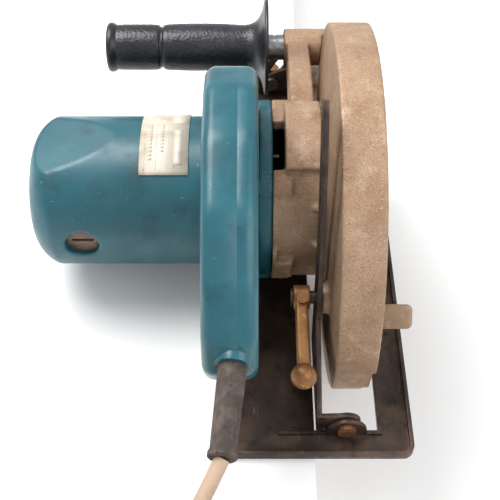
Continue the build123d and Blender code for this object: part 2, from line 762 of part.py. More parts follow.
def saw_blade():
    """A tungsten-tipped blade: gullets, raked teeth and four expansion slots."""
    root_r = blade_r - 9
    pitch = 360 / teeth_count
    points = []
    for tooth in range(teeth_count):
        tip = -pitch * tooth
        points.append(polar(0, 0, blade_r, tip))
        points.append(polar(0, 0, blade_r - 1.6, tip - 0.36 * pitch))
        points.append(polar(0, 0, root_r + 1, tip - 0.72 * pitch))
        points.append(polar(0, 0, root_r, tip - 0.88 * pitch))
        points.append(polar(0, 0, root_r + 4, tip - 0.97 * pitch))
    face = Polygon(*points, align=None) - Circle(blade_bore_r)
    placed = Plane.YZ.offset(blade_x) * Pos(arbor_y, arbor_z) * face
    blade = extrude(placed, amount=blade_t, dir=(1, 0, 0))
    for slot in range(4):
        y, z = polar(arbor_y, arbor_z, blade_r - 24, 90 * slot - 0.88 * pitch)
        blade -= disc(y, z, 3, blade_x - 1, blade_x + blade_t + 1)
        cut = block(blade_x - 1, blade_x + blade_t + 1, blade_r - 24, blade_r, -0.8, 0.8)
        axis_turn = Pos(0, arbor_y, arbor_z) * Rot(90 * slot - 0.88 * pitch, 0, 0)
        blade -= axis_turn * cut
    return blade


# ---- Lower guard ----


def lower_guard():
    """The sprung guard: half disc on the left, rim, narrow lip on the right, hub and the tab's arm."""
    x0, x1 = guard_x
    start, end = guard_angles
    r_in = guard_r - guard_wall
    body = sector(arbor_y, arbor_z, guard_hub_r - 3, guard_r, start, end, x0, x0 + 2.0)
    body += sector(arbor_y, arbor_z, r_in, guard_r, start, end, x0, x1)
    body += sector(arbor_y, arbor_z, guard_lip_r, guard_r, start, end, x1 - 2.0, x1)
    body += disc(arbor_y, arbor_z, guard_hub_r, guard_hub_x0, x0 + 2.0)
    body += tab_arm()
    return body - disc(arbor_y, arbor_z, box_r + RUN, guard_hub_x0 - 1, x0 + 3)


def tab_arm():
    """The ear that carries the thumb tab, inside the case's outer lip."""
    arm = sector(arbor_y, arbor_z, guard_lip_r, lip_r - 1.2, 165, 176, guard_x[1] - 2.0, case_x[1] + GAP + 2)
    return arm


def thumb_tab():
    """The flat tab that lifts the guard; it stands out past the blade case."""
    x0 = case_x[1] + GAP + 2
    plate = Pos((x0 + tab_x1) / 2, 0, 0) * Box(tab_x1 - x0, tab_w, tab_t)
    corners = plate.edges().filter_by(Axis.Z).group_by(Axis.X)[-1]
    plate = fillet(corners, 3.5)
    y, z = polar(arbor_y, arbor_z, tab_r, tab_angle)
    return Pos(0, y, z) * Rot(48, 0, 0) * plate


# ---- Base plate ----


def base_plate():
    """The pressed sole with turned-up edges, the blade's slot and the rear ear of the bevel pivot."""
    x0, x1 = base_x
    y0, y1 = base_y
    outline = RectangleRounded(x1 - x0, y1 - y0, base_corner_r)
    inner = RectangleRounded(x1 - x0 - 2 * lip_t, y1 - y0 - 2 * lip_t, base_corner_r - lip_t)
    centre = Pos((x0 + x1) / 2, (y0 + y1) / 2)
    plate = extrude(centre * outline, amount=base_t)
    plate += extrude(centre * (outline - inner), amount=lip_h)
    slot = Rectangle(slot_x[1] - slot_x[0], slot_y[1] - slot_y[0])
    plate += block(slot_x[1], slot_x[1] + lip_t, slot_y[0] - lip_t, -40, base_t, slot_lip_h)
    plate += block(slot_x[0] - 22, slot_x[1] + lip_t, slot_y[0] - lip_t, slot_y[0], base_t, slot_lip_h)
    plate -= extrude(Pos((slot_x[0] + slot_x[1]) / 2, (slot_y[0] + slot_y[1]) / 2) * slot, amount=lip_h)
    return plate + rear_ear() - rod_y(bevel_x, bevel_z, bevel_pin_r, slot_y[0] - 10, slot_y[0] + 10)


def rear_ear():
    """A half-round ear standing at the rear end of the blade's slot."""
    half = ear_w / 2
    top = bevel_z + ear_top
    edges = [
        Line((bevel_x + half, 0.5), (bevel_x - half, 0.5)),
        Line((bevel_x - half, 0.5), (bevel_x - half, base_t + 2)),
        ThreePointArc((bevel_x - half, base_t + 2), (bevel_x, top), (bevel_x + half, base_t + 2)),
        Line((bevel_x + half, base_t + 2), (bevel_x + half, 0.5)),
    ]
    return xz_plate(make_face(edges), slot_y[0] - ear_t, slot_y[0])


def rear_bevel_bolt():
    """The screw of the rear bevel pivot, its head behind the ear and its far end upset to keep the foot on."""
    ear_y0 = slot_y[0] - ear_t
    end_y = slot_y[0] + GAP + guide_foot_t + GAP
    bolt = rod_y(bevel_x, bevel_z, bevel_pin_r, ear_y0, end_y + 1.6)
    bolt += rod_y(bevel_x, bevel_z, 5.0, end_y, end_y + 1.6)
    head = rod_y(bevel_x, bevel_z, 5.6, ear_y0 - 2.6, ear_y0)
    return bolt + head - block(bevel_x - 6, bevel_x + 6, ear_y0 - 3, ear_y0 - 1.6, bevel_z - 0.6, bevel_z + 0.6)


# ---- Depth guide, turning with the bevel ----


def depth_guide():
    """A slotted arc about the depth pivot, with a foot turned square to meet the rear bevel pivot."""
    low = 180 - stud_start - depth_travel - guide_end_deg
    high = 180 - stud_start + guide_end_deg
    r0, r1 = stud_reach - guide_half_w, stud_reach + guide_half_w
    guide = sector(pivot_y, pivot_z, r0, r1, low, high, *guide_x)
    foot_y = slot_y[0] + GAP
    lower_y, lower_z = polar(pivot_y, pivot_z, r0, high - 0.5)
    upper_y, upper_z = polar(pivot_y, pivot_z, r1, high - 0.5)
    leg = ((lower_y, lower_z + 2), (upper_y, upper_z + 6), (foot_y + 8, bevel_z + 14), (foot_y, bevel_z + 9),
           (foot_y, bevel_z - 6), (lower_y - 6, bevel_z - 4))
    guide += slab(leg, *guide_x)
    tab = [
        Line((guide_x[0], bevel_z + 9), (bevel_x - 4, bevel_z + 9.5)),
        ThreePointArc((bevel_x - 4, bevel_z + 9.5), (bevel_x + 8.5, bevel_z), (bevel_x - 4, bevel_z - 6.5)),
        Line((bevel_x - 4, bevel_z - 6.5), (guide_x[0], bevel_z - 6)),
        Line((guide_x[0], bevel_z - 6), (guide_x[0], bevel_z + 9)),
    ]
    guide += xz_plate(make_face(tab), foot_y, foot_y + guide_foot_t)
    slot_r = stud_r + 0.5
    slot_low, slot_high = 180 - stud_start - depth_travel, 180 - stud_start
    wide = (guide_x[0] - 1, guide_x[1] + 1)
    guide -= sector(pivot_y, pivot_z, stud_reach - slot_r, stud_reach + slot_r, slot_low, slot_high, *wide)
    for angle in (slot_low, slot_high):
        y, z = polar(pivot_y, pivot_z, stud_reach, angle)
        guide -= disc(y, z, slot_r, *wide)
    return guide - rod_y(bevel_x, bevel_z, bevel_pin_r + RUN, foot_y - 1, foot_y + guide_foot_t + 1)


def front_bracket():
    """An angle bracket: one leg carries the depth pivot, the other turns on the front bevel pin."""
    side = slab(((front_y[1], 12), (front_y[1], 34), (pivot_y - 4, 34), (pivot_y - 10, 26), (pivot_y - 10, 14),
                 (pivot_y - 4, 10)), *guide_x)
    side -= disc(pivot_y, pivot_z, pivot_pin_r, guide_x[0] - 1, guide_x[1] + 1)
    bolt_x, bolt_z = lock_place()
    outline = [
        (bolt_x - 8, bolt_z - 6), (bolt_x - 8, bolt_z + 4), (bolt_x, bolt_z + 9), (guide_x[0], 36),
        (guide_x[1] + 3, 36), (bevel_x + 4, bevel_z + 6), (bevel_x + 6, bevel_z + 2), (bevel_x + 6, bevel_z - 2),
        (bevel_x + 3, bevel_z - 5.5), (bevel_x - 4, bevel_z - 5.5), (guide_x[0], 6.5),
    ]
    front = xz_plate(Polygon(*outline, align=None), *front_y)
    front -= rod_y(bevel_x, bevel_z, bevel_pin_r + RUN, front_y[0] - 1, front_y[1] + 1)
    front -= rod_y(bolt_x, bolt_z, lock_bolt_r, front_y[0] - 1, front_y[1] + 1)
    return side + front


def lock_place():
    return (bevel_x + lock_radius * cos(radians(lock_angle)), bevel_z + lock_radius * sin(radians(lock_angle)))


def xz_sector(x, z, r_in, r_out, start, end, y0, y1):
    """A ring's sector across Y, its angles from +X towards +Z."""
    return xz_plate(Pos(x, z) * sector_face(r_in, r_out, start, end), y0, y1)


def bevel_quadrant():
    """The upright sector that the bevel lock clamps to, with its welded foot."""
    y0, y1 = quadrant_y
    low, high = lock_angle - bevel_travel, lock_angle
    body = xz_sector(bevel_x, bevel_z, 0.5, lock_radius + 9, low - 14, 179, y0, y1)
    body += block(bevel_x - lock_radius - 8.9, bevel_x + 7, y0, y1, base_t, bevel_z + 1)
    body += block(bevel_x - lock_radius, bevel_x - 10, y1 - 0.5, base_y[1] - lip_t - 1, base_t, base_t + 2.5)
    slot_r = lock_bolt_r + 0.5
    body -= xz_sector(bevel_x, bevel_z, lock_radius - slot_r, lock_radius + slot_r, low, high, y0 - 1, y1 + 1)
    for angle in (low, high):
        x, z = polar(bevel_x, bevel_z, lock_radius, angle)
        body -= rod_y(x, z, slot_r, y0 - 1, y1 + 1)
    return body - rod_y(bevel_x, bevel_z, bevel_pin_r, y0 - 1, y1 + 1)


def front_bevel_pin():
    pin = rod_y(bevel_x, bevel_z, bevel_pin_r, front_y[0] - GAP, quadrant_y[1] + 1.8)
    head = rod_y(bevel_x, bevel_z, 5.2, front_y[0] - GAP - 1.8, front_y[0] - GAP)
    return pin + head + rod_y(bevel_x, bevel_z, 5.2, quadrant_y[1], quadrant_y[1] + 1.8)


def depth_pivot_pin():
    """The shouldered pin on which the saw swings for its depth of cut."""
    pin = disc(pivot_y, pivot_z, pivot_pin_r, guide_x[0] - 2.5, lug_x[1] + 3)
    head = disc(pivot_y, pivot_z, 6.5, guide_x[0] - 2.5, guide_x[0])
    return pin + head + ring(pivot_y, pivot_z, 6, pivot_pin_r, lug_x[1] + GAP, lug_x[1] + 3)


# ---- Levers ----


def ball_lever(length, arm_w):
    """A cast lever in its own frame: hub about the Z axis, arm along +X, a ball at its end."""
    hub = Cylinder(lever_hub_r, lever_x[1] - lever_x[0])
    neck = [(0, arm_w * 0.72), (length * 0.45, arm_w * 0.5), (length - 4, arm_w * 0.42)]
    outline = [*neck, *[(x, -y) for x, y in reversed(neck)]]
    arm = extrude(Polygon(*outline, align=None), amount=3.9, both=True)
    arm = fillet(arm.edges().filter_by(Axis.X, tolerance=8.0), 2.0)
    return hub + arm + Pos(length, 0, 0) * Sphere(ball_r)


def depth_lever():
    x = (lever_x[0] + lever_x[1]) / 2
    lever = Rot(0, 90, 0) * ball_lever(lever_len, 9.0)
    lever = Pos(x, stud_y, stud_z) * Rot(lever_drop_deg - 90, 0, 0) * lever
    lever -= disc(stud_y, stud_z, stud_r + RUN, lever_x[0] - 1, lever_x[1] + 1)
    return lever - Pos(x, stud_y, stud_z) * set_screw_bore(2.0)


def set_screw_bore(r):
    """A radial hole in the depth lever's hub, with room for the screw's head."""
    bore = Pos(0, 0, (stud_r + RUN + 12) / 2) * Cylinder(r, 12 - stud_r - RUN)
    return Rot(set_screw_turn, 0, 0) * (bore + Pos(0, 0, lever_hub_r + 5) * Cylinder(3.5, 10))


def lever_screw():
    x = (lever_x[0] + lever_x[1]) / 2
    shank = Pos(0, 0, (stud_r + GAP + lever_hub_r) / 2) * Cylinder(2.0, lever_hub_r - stud_r - GAP)
    head = Pos(0, 0, lever_hub_r + 1.3) * Cylinder(3.4, 2.6)
    return Pos(x, stud_y, stud_z) * Rot(set_screw_turn, 0, 0) * (shank + head)


def depth_stud():
    """The depth lock's bolt: low head, a plain shank through the lever and the guide, a thread in the case."""
    head_x = lever_x[0] - GAP
    bolt = disc(stud_y, stud_z, stud_r, head_x, guide_x[1] + GAP)
    bolt += disc(stud_y, stud_z, stud_r - 0.2, guide_x[1] + GAP, 52)
    return bolt + disc(stud_y, stud_z, 5.4, head_x - 1.2, head_x)


def bevel_lever():
    bolt_x, bolt_z = lock_place()
    y0 = quadrant_y[1] + GAP
    half = (lever_x[1] - lever_x[0]) / 2
    lever = Pos(bolt_x, y0 + half, bolt_z) * Rot(90, 0, 180) * ball_lever(bevel_lever_len, 9.0)
    return lever - rod_y(bolt_x, bolt_z, lock_bolt_r + RUN, y0 - 1, y0 + 2 * half + 1)


def bevel_bolt():
    bolt_x, bolt_z = lock_place()
    y0 = quadrant_y[1] + GAP
    end = y0 + lever_x[1] - lever_x[0] + 4
    bolt = rod_y(bolt_x, bolt_z, lock_bolt_r, front_y[0] - 3, end)
    head = rod_y(bolt_x, bolt_z, 5.5, front_y[0] - 3, front_y[0])
    return bolt + head + rod_y(bolt_x, bolt_z, 5, end - 4 + GAP, end)


# ---- Side grip ----


def side_grip():
    """The moulded grip with its end rim, ring groove and trumpet-shaped hand guard."""
    x0, x1 = grip_x
    points = [
        (x0, 0), (x0, grip_end_r - 1.5), (x0 + 1.5, grip_end_r), (x0 + 4.5, grip_end_r), (x0 + 8, grip_r),
        (grip_groove_x - 1.6, grip_r - 0.2), (grip_groove_x, grip_r - 1.6), (grip_groove_x + 1.6, grip_r - 0.2),
        (-30, grip_r + 0.6), (-4, grip_r - 0.8), (x1 - 10, grip_r + 1.5), (x1 - 6.5, grip_r + 5.5),
        (x1 - 4, grip_r + 12), (x1 - 2.6, grip_disc_r), (x1, grip_disc_r), (x1, 0),
    ]
    return lathe(points, grip_y, grip_z) - disc(grip_y, grip_z, grip_stud_r, x0 + 30, x1)


def grip_stud():
    """The steel stud of the side grip, with a shoulder between the grip and the boss."""
    stud = disc(grip_y, grip_z, grip_stud_r, grip_x[0] + 30, 46)
    stud += disc(grip_y, grip_z, spacer_r, grip_x[1], grip_boss_x0)
    return stud - ring(grip_y, grip_z, spacer_r, spacer_r - 0.7, grip_boss_x0 - 7, grip_boss_x0 - 5.6)


# ---- D-handle ----


def handle_body(grow):
    """The whole handle before it is split, or the hollow inside it when grow is negative."""
    outer = make_face(FilletPolyline(*handle_outline, radius=handle_corner_r, close=True))
    gap = make_face(FilletPolyline(*opening_outline, radius=opening_corner_r, close=True))
    gap -= Pos(motor_y, motor_z) * Circle(opening_front_r)
    if grow:
        outer = offset(outer, amount=grow)
        gap = offset(gap, amount=-grow)
    x0, x1 = handle_x[0] - grow, handle_x[1] + grow
    body = extrude(Plane.YZ.offset(x0) * outer, amount=x1 - x0, dir=(1, 0, 0))
    body -= extrude(Plane.YZ.offset(x0 - 1) * gap, amount=x1 - x0 + 2, dir=(1, 0, 0))
    if not grow:
        ends = body.faces().sort_by(Axis.X)
        body = soften(body, [ends[0], ends[-1]], handle_round)
    return body


def soften(body, faces, r):
    """Rounds every edge of the given faces."""
    edges = ShapeList()
    for face in faces:
        edges += face.edges()
    return fillet(edges, r)


def handle_halves():
    """The left and right shells with their screw bosses, cut for the cord, trigger and button."""
    solid = handle_body(0)
    room = handle_body(-handle_wall)
    bosses = Part()
    for y, z in screw_places:
        bosses += disc(y, z, boss_r, handle_x[0] + 2, handle_x[1] - 2)
    shell = solid - room
    shell += bosses & solid
    for y, z in screw_places:
        shell -= disc(y, z, handle_screw_r, handle_x[0] + 8, handle_x[1] - 1)
        shell -= disc(y, z, 3.8, handle_x[0] - 1, handle_x[0] + 8)
    shell -= disc(motor_y, motor_z, motor_r, handle_x[0] - 1, handle_x[1] + 1)
    collar, bore = cord_collar()
    shell = shell + collar - bore
    pin_y, pin_z = trigger_pivot
    shell += disc(pin_y, pin_z, boss_r, handle_x[0] + 2, trigger_x[0] - 1)
    shell -= disc(pin_y, pin_z, trigger_pin_r + RUN, trigger_pin_x[0] - 0.2, trigger_pin_x[1] + 0.2)
    shell -= slab(((-45, 126), (-103, 126), (-103, 156.5), (-45, 156.5)), trigger_x[0] - GAP, trigger_x[1] + GAP)
    shell -= disc(button_y, button_z, button_r + GAP, handle_x[0] - 1, handle_split_x)
    left = shell & block(handle_x[0] - 1, handle_split_x, -260, 60, 0, 220)
    right = shell & block(handle_split_x, handle_x[1] + 1, -260, 60, 0, 220)
    return left, right


def cord_axis():
    """The line from the collar to the cord guard's tip."""
    start, end = Vector(*cord_start), Vector(*guard_end)
    return start, (end - start).normalized(), (end - start).length


def tube_along(start, direction, r, near, far):
    plane = Plane(start + direction * near, z_dir=direction)
    return extrude(plane * Circle(r), amount=far - near)


def cord_collar():
    """The round rim where the cord leaves the handle, and the bore through it."""
    start, direction, _ = cord_axis()
    collar = tube_along(start, direction, collar_r, -12, 1.5)
    return collar, tube_along(start, direction, cord_guard_r[0], -30, 6)


def cord_guard():
    """The tapered rubber sleeve round the cord, with a flange held in the handle and a rim at its tip."""
    start, direction, length = cord_axis()
    base_r, tip_r = cord_guard_r
    plane = Plane(start, z_dir=direction)
    x_side = Plane(start, x_dir=plane.x_dir, z_dir=plane.y_dir)
    profile = Polygon(
        (0, 10), (base_r, 10), (base_r, 0), (tip_r + 0.3, -(length - 5)), (tip_r + 1.2, -(length - 3)),
        (tip_r + 1.2, -(length - 0.8)), (tip_r + 0.2, -length), (0, -length), align=None)
    body = revolve(x_side * profile, axis=Axis(start, direction))
    return body - tube_along(start, direction, cord_r, -12, length - 14)


def handle_screw(place):
    y, z = place
    return screw_x(y, z, handle_screw_r, 3.6, handle_x[0] + 8, -2.6, handle_x[1] - 3)


def trigger():
    """The curved trigger, with the trunnions it turns on at the front of its slot."""
    y, z = trigger_pivot
    points = ((y + 4, z + 3), (y + 3, z - 6), (y - 14, z - 15), (y - 40, z - 19), (y - 47, z - 15), (y - 46, z - 3),
              (y - 10, z + 2))
    body = slab(points, *trigger_x, radii=(2, 3, 12, 5, 3, 2, 4))
    return body + disc(y, z, trigger_pin_r, *trigger_pin_x)


def switch():
    """The switch block above the trigger."""
    return slab(((-62, 158.5), (-97, 157.5), (-95, 161.5), (-84, 166.5), (-62, 169)), trigger_x[0] + 1, trigger_x[1])


def lock_button():
    x0 = handle_x[0] - 0.5
    body = disc(button_y, button_z, button_r, x0, trigger_x[0] - button_travel - GAP)
    body = fillet(body.edges().filter_by(GeomType.CIRCLE).sort_by(Axis.X)[0], 1.2)
    return body + disc(button_y, button_z, button_r + 1.5, handle_x[0] + handle_wall + 0.2,
                       handle_x[0] + handle_wall + 2.2)


# ---- Cord ----


def bend_radii(points):
    """Each corner's radius: 0.45 of its shorter run over the tangent of half its turn."""
    radii = []
    for a, b, c in zip(points, points[1:], points[2:]):
        before, after = Vector(*b) - Vector(*a), Vector(*c) - Vector(*b)
        half_turn = radians(before.get_angle(after)) / 2
        radii.append(0.45 * min(before.length, after.length) / tan(half_turn))
    return radii


def round_tube(points, r):
    radii = bend_radii(points)
    print("cord bend radii", [round(value) for value in radii])
    path = FilletPolyline(*points, radius=radii)
    tube = sweep(Plane(path @ 0, z_dir=path % 0) * Circle(r), path=path)
    print("tube volume over section times length", round(tube.volume / (pi * r * r * path.length), 4))
    return tube


def cord_coil():
    """The outer shape of the stored coil, a ring of rounded section on the floor."""
    width, height = coil_section
    face = Plane.XZ * Pos(coil_r, height / 2) * RectangleRounded(width, height, 7.5)
    return Pos(*coil_centre) * revolve(face, axis=Axis.Z)


def cord_tie():
    """A strap round the coil's bundle."""
    width, height = coil_section
    x, y = coil_centre
    outer = RectangleRounded(width + 2.4, height + 1.2, 8)
    inner = RectangleRounded(width, height, 7.5)
    face = Pos(0, 0.6) * outer - inner
    band = extrude(Plane.XZ * Pos(0, height / 2) * face, amount=6, both=True)
    return Pos(x, y) * Rot(0, 0, tie_angle) * Pos(coil_r, 0, 0) * band


def tail_line():
    """The start and direction of the cord's tail, tangent to the coil's outer turn."""
    x, y = coil_centre
    r = coil_r + coil_section[0] / 2 - cord_r
    px, py = polar(x, y, r, plug_angle)
    direction = Vector(sin(radians(plug_angle)), -cos(radians(plug_angle)), 0)
    return Vector(px, py, cord_r), direction


def cord_tail():
    start, direction = tail_line()
    return tube_along(start, direction, cord_r, 0, tail_len)


def plug():
    """A round two-pin plug lying on its side, with a tapered sleeve round the cord."""
    start, direction = tail_line()
    centre = Vector(start.X, start.Y, plug_r)
    near = tail_len
    low = Vector(start.X, start.Y, cord_r + 1.4) + direction * near
    high = centre + direction * (near + sleeve_len)
    sleeve = loft([Plane(low, z_dir=direction) * Circle(cord_r + 1.4), Plane(high, z_dir=direction) * Circle(9)])
    body = tube_along(centre, direction, plug_r, near + sleeve_len, near + sleeve_len + plug_len)
    body = chamfer(body.edges().filter_by(GeomType.CIRCLE), 3)
    return sleeve + body


def plug_pins():
    start, direction = tail_line()
    side = Vector(-direction.Y, direction.X, 0)
    centre = Vector(start.X, start.Y, plug_r)
    near = tail_len + sleeve_len + plug_len
    pins = []
    for sign in (-1, 1):
        pin = tube_along(centre + side * (sign * pin_spacing / 2), direction, pin_r, near, near + pin_len)
        pins.append(chamfer(pin.edges().filter_by(GeomType.CIRCLE), 0.8))
    return pins


def housing_screw(angle):
    y, z = polar(motor_y, motor_z, lobe_ring_r, angle)
    return screw_x(y, z, housing_screw_r - 0.4, 4.2, motor_flange_x + 2.8, -2.8, house_x[0] + 10)


def case_screw(place):
    y, z = place
    return screw_x(y, z, 2.4, 4.4, house_x[1] + case_plate_t, 2.6, house_x[1] - 10)


def box_screw(place):
    y, z = place
    x1 = house_x[1] + case_plate_t + box_flange_t
    return screw_x(y, z, 1.9, 3.4, x1, 1.6, house_x[1])


def save(name, shape):
    """Writes one node; a list becomes a group of separate solids."""
    group = Compound(children=[Compound(item.solids()) for item in shape]) if isinstance(shape, list) else shape
    export_step(group, f"parts/{name}.step")


def build():
    os.makedirs("parts", exist_ok=True)
    handle_left, handle_right = handle_halves()
    nodes = {
        "motor_housing": motor_housing(),
        "rating_plate": rating_plate(),
        "air_baffle": air_baffle(),
        "stator_core": stator_core(),
        "field_coils": field_coils(),
        "brush_holders": both_sides(brush_holder),
        "carbon_brushes": both_sides(carbon_brush),
        "brush_springs": both_sides(brush_spring),
        "brush_caps": both_sides(brush_cap),
        "armature_shaft": armature_shaft(),
        "armature_core": armature_core(),
        "armature_windings": armature_windings(),
        "commutator": commutator(),
        "cooling_fan": cooling_fan(),
        "motor_pinion": pinion(),
        "rear_bearing": bearing(motor_y, motor_z, rear_bearing[0], shaft_r + RUN, shaft_x0, rear_bearing[1]),
        "drive_bearing": bearing(motor_y, motor_z, drive_bearing[0], shaft_r + RUN,
                                 bulkhead_x[1] - drive_bearing[1], drive_bearing[1]),
        "gear_housing": gear_housing(),
        "housing_screws": [housing_screw(angle) for angle in lobe_angles],
        "drive_gear": drive_gear(),
        "arbor_shaft": arbor_shaft(),
        "arbor_inner_bearing": bearing(arbor_y, arbor_z, arbor_bearing[0], arbor_tail_r + RUN,
                                       bulkhead_x[1] - arbor_bearing[1], arbor_bearing[1]),
        "arbor_outer_bearing": bearing(arbor_y, arbor_z, box_bearing[0], arbor_r + RUN, 46, box_bearing[1]),
        "bearing_box": bearing_box(),
        "bearing_box_screws": [box_screw(place) for place in box_screw_places()],
        "inner_flange": inner_flange(),
        "outer_flange": outer_flange(),
        "saw_blade": saw_blade(),
        "blade_bolt": blade_bolt(),
        "blade_case": blade_case(),
        "case_screws": [case_screw(place) for place in case_screw_places()],
        "lower_guard": lower_guard(),
        "guard_snap_ring": snap_ring(),
        "thumb_tab": thumb_tab(),
        "base_plate": base_plate(),
        "rear_bevel_bolt": rear_bevel_bolt(),
        "depth_guide": depth_guide(),
        "front_bracket": front_bracket(),
        "bevel_quadrant": bevel_quadrant(),
        "front_bevel_pin": front_bevel_pin(),
        "depth_pivot_pin": depth_pivot_pin(),
        "depth_stud": depth_stud(),
        "depth_lever": depth_lever(),
        "lever_set_screw": lever_screw(),
        "bevel_bolt": bevel_bolt(),
        "bevel_lever": bevel_lever(),
        "side_grip": side_grip(),
        "grip_stud": grip_stud(),
        "handle_left": handle_left,
        "handle_right": handle_right,
        "handle_screws": [handle_screw(place) for place in screw_places],
        "trigger": trigger(),
        "lock_button": lock_button(),
        "switch": switch(),
        "cord_guard": cord_guard(),
        "cord": [round_tube(cord_route, cord_r), cord_tail()],
        "cord_coil": cord_coil(),
        "cord_tie": cord_tie(),
        "plug_body": plug(),
        "plug_pins": plug_pins(),
    }
    for name, shape in nodes.items():
        save(name, shape)


build()
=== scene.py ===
"""Finishes and detailed pieces for a hand-held circular saw with a D-handle and a cast blade case.

The CAD model is the fixed frame. Every place and size comes from its boxes or from the named values below.
All lengths are in metres; X runs along the motor towards the blade, Y is forward, Z is up from the sole.
"""

import math

import bmesh
import bpy
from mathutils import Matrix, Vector


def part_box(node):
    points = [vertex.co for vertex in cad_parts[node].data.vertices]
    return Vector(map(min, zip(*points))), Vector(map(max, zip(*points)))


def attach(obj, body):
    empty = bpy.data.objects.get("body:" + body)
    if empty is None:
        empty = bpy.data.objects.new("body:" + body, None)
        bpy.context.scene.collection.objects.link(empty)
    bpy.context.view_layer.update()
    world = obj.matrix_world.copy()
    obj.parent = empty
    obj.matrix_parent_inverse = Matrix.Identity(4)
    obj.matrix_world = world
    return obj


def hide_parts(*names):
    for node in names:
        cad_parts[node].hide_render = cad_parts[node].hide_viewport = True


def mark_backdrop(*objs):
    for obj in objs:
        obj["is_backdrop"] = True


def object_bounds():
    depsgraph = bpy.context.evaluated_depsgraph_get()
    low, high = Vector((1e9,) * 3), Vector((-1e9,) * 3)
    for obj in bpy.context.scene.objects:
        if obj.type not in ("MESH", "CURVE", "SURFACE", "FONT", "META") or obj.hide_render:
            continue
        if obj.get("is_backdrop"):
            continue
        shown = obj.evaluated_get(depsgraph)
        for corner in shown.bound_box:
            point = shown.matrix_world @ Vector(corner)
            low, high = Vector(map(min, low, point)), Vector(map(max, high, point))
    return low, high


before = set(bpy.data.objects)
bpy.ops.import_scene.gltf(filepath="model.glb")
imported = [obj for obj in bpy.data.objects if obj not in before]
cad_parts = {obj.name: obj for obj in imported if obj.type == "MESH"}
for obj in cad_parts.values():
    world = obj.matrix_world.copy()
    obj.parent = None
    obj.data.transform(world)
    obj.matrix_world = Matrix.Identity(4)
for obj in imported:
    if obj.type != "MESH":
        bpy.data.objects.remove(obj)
cad_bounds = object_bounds()

bl_info = {
    "name": "Circular Saw Looks",
    "version": (1, 0, 0),
    "blender": (4, 5, 0),
    "location": "View3D > Sidebar > Circular Saw",
    "description": "Builds the finishes and fine pieces of a hand-held circular saw around its CAD frame",
    "category": "Object",
}

MM = 0.001

# ---- Places that the frame gives ----

GRIP_LOW, GRIP_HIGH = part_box("side_grip")
BLADE_LOW, BLADE_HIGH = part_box("saw_blade")
PLATE_LOW, PLATE_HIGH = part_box("rating_plate")
SHAFT_LOW, SHAFT_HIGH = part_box("armature_shaft")
ARBOR_Y = (BLADE_LOW[1] + BLADE_HIGH[1]) / 2
ARBOR_Z = (BLADE_LOW[2] + BLADE_HIGH[2]) / 2
MOTOR_Y = (SHAFT_LOW[1] + SHAFT_HIGH[1]) / 2
MOTOR_Z = (SHAFT_LOW[2] + SHAFT_HIGH[2]) / 2
BARREL_R = 48.5 * MM
BLADE_R = 117.5 * MM
BENCH_RIGHT = 0.039
CAMERA_PLACE = (0.0, -0.4385, 0.5142)
CAMERA_AIM = (0.0, 0.643, -0.766)
CAMERA_LENS = 67.7
LIGHT_TARGET = (-0.02, 0.0, 0.04)

# ---- The cord's route: out of its guard, down in one curve, then along the bench to the coil ----

CORD_ROUTE = (
    (-0.014, -0.217, 0.088), (-0.025, -0.239, 0.080), (-0.043, -0.268, 0.064), (-0.062, -0.298, 0.040),
    (-0.080, -0.325, 0.017), (-0.100, -0.342, 0.006),
)
COIL_CENTRE = (-0.112, -0.291)
COIL_START_TURN = 0.06  # the part of the first turn that the route has already covered
COIL_TURNS = 7.5
POINTS_PER_TURN = 24
# Each step is (turns wound so far, column, layer): columns count inwards, layers upwards.
COIL_STEPS = (
    (0.00, 0, 0), (0.83, 0, 0), (1.00, 1, 0), (1.83, 1, 0), (2.00, 2, 0), (2.64, 2, 0), (2.86, 2, 1),
    (3.13, 2, 1), (3.33, 1, 1), (4.33, 1, 1), (4.50, 2, 1), (4.70, 2, 2), (5.30, 2, 2), (5.46, 1, 2),
    (6.17, 1, 2), (6.33, 0, 2), (6.53, 0, 1), (7.60, 0, 1),
)
TAIL_STEPS = ((0.015, 0.0130), (0.030, 0.0118), (0.043, 0.0076), (0.056, 0.00565))  # along X, height


class SawSizes(bpy.types.PropertyGroup):
    """Sizes of the fine pieces."""

    cord_diameter: bpy.props.FloatProperty(
        name="Cord diameter", description="Outside diameter of the mains cord", default=8.5 * MM, unit="LENGTH")
    cord_length: bpy.props.FloatProperty(
        name="Cord length", description="Free length of the mains cord", default=2.42, unit="LENGTH")
    coil_radius: bpy.props.FloatProperty(
        name="Coil radius", description="Radius of the coil's middle turns", default=47 * MM, unit="LENGTH")
    cast_cell: bpy.props.FloatProperty(
        name="Casting cell", description="Size of the mesh cells of the large castings", default=1.1 * MM,
        unit="LENGTH")
    pebble: bpy.props.FloatProperty(
        name="Pebble", description="Width of one pebble of the grip's moulded texture", default=1.5 * MM,
        unit="LENGTH")
    pebble_height: bpy.props.FloatProperty(
        name="Pebble height", description="How far the pebbles stand proud", default=0.20 * MM, unit="LENGTH")
    teeth: bpy.props.IntProperty(name="Teeth", description="Number of tipped teeth on the blade", default=24)
    edge: bpy.props.FloatProperty(
        name="Pressed edge", description="Radius left on the edges of pressed steel", default=0.5 * MM,
        unit="LENGTH")


def linear(code):
    """A linear RGBA colour from an sRGB hex code."""
    parts = [int(code[i:i + 2], 16) / 255 for i in (1, 3, 5)]
    return (*[c / 12.92 if c <= 0.04045 else ((c + 0.055) / 1.055) ** 2.4 for c in parts], 1.0)


def colour_property(name, description, code):
    return bpy.props.FloatVectorProperty(
        name=name, description=description, default=linear(code), size=4, subtype="COLOR", min=0, max=1)


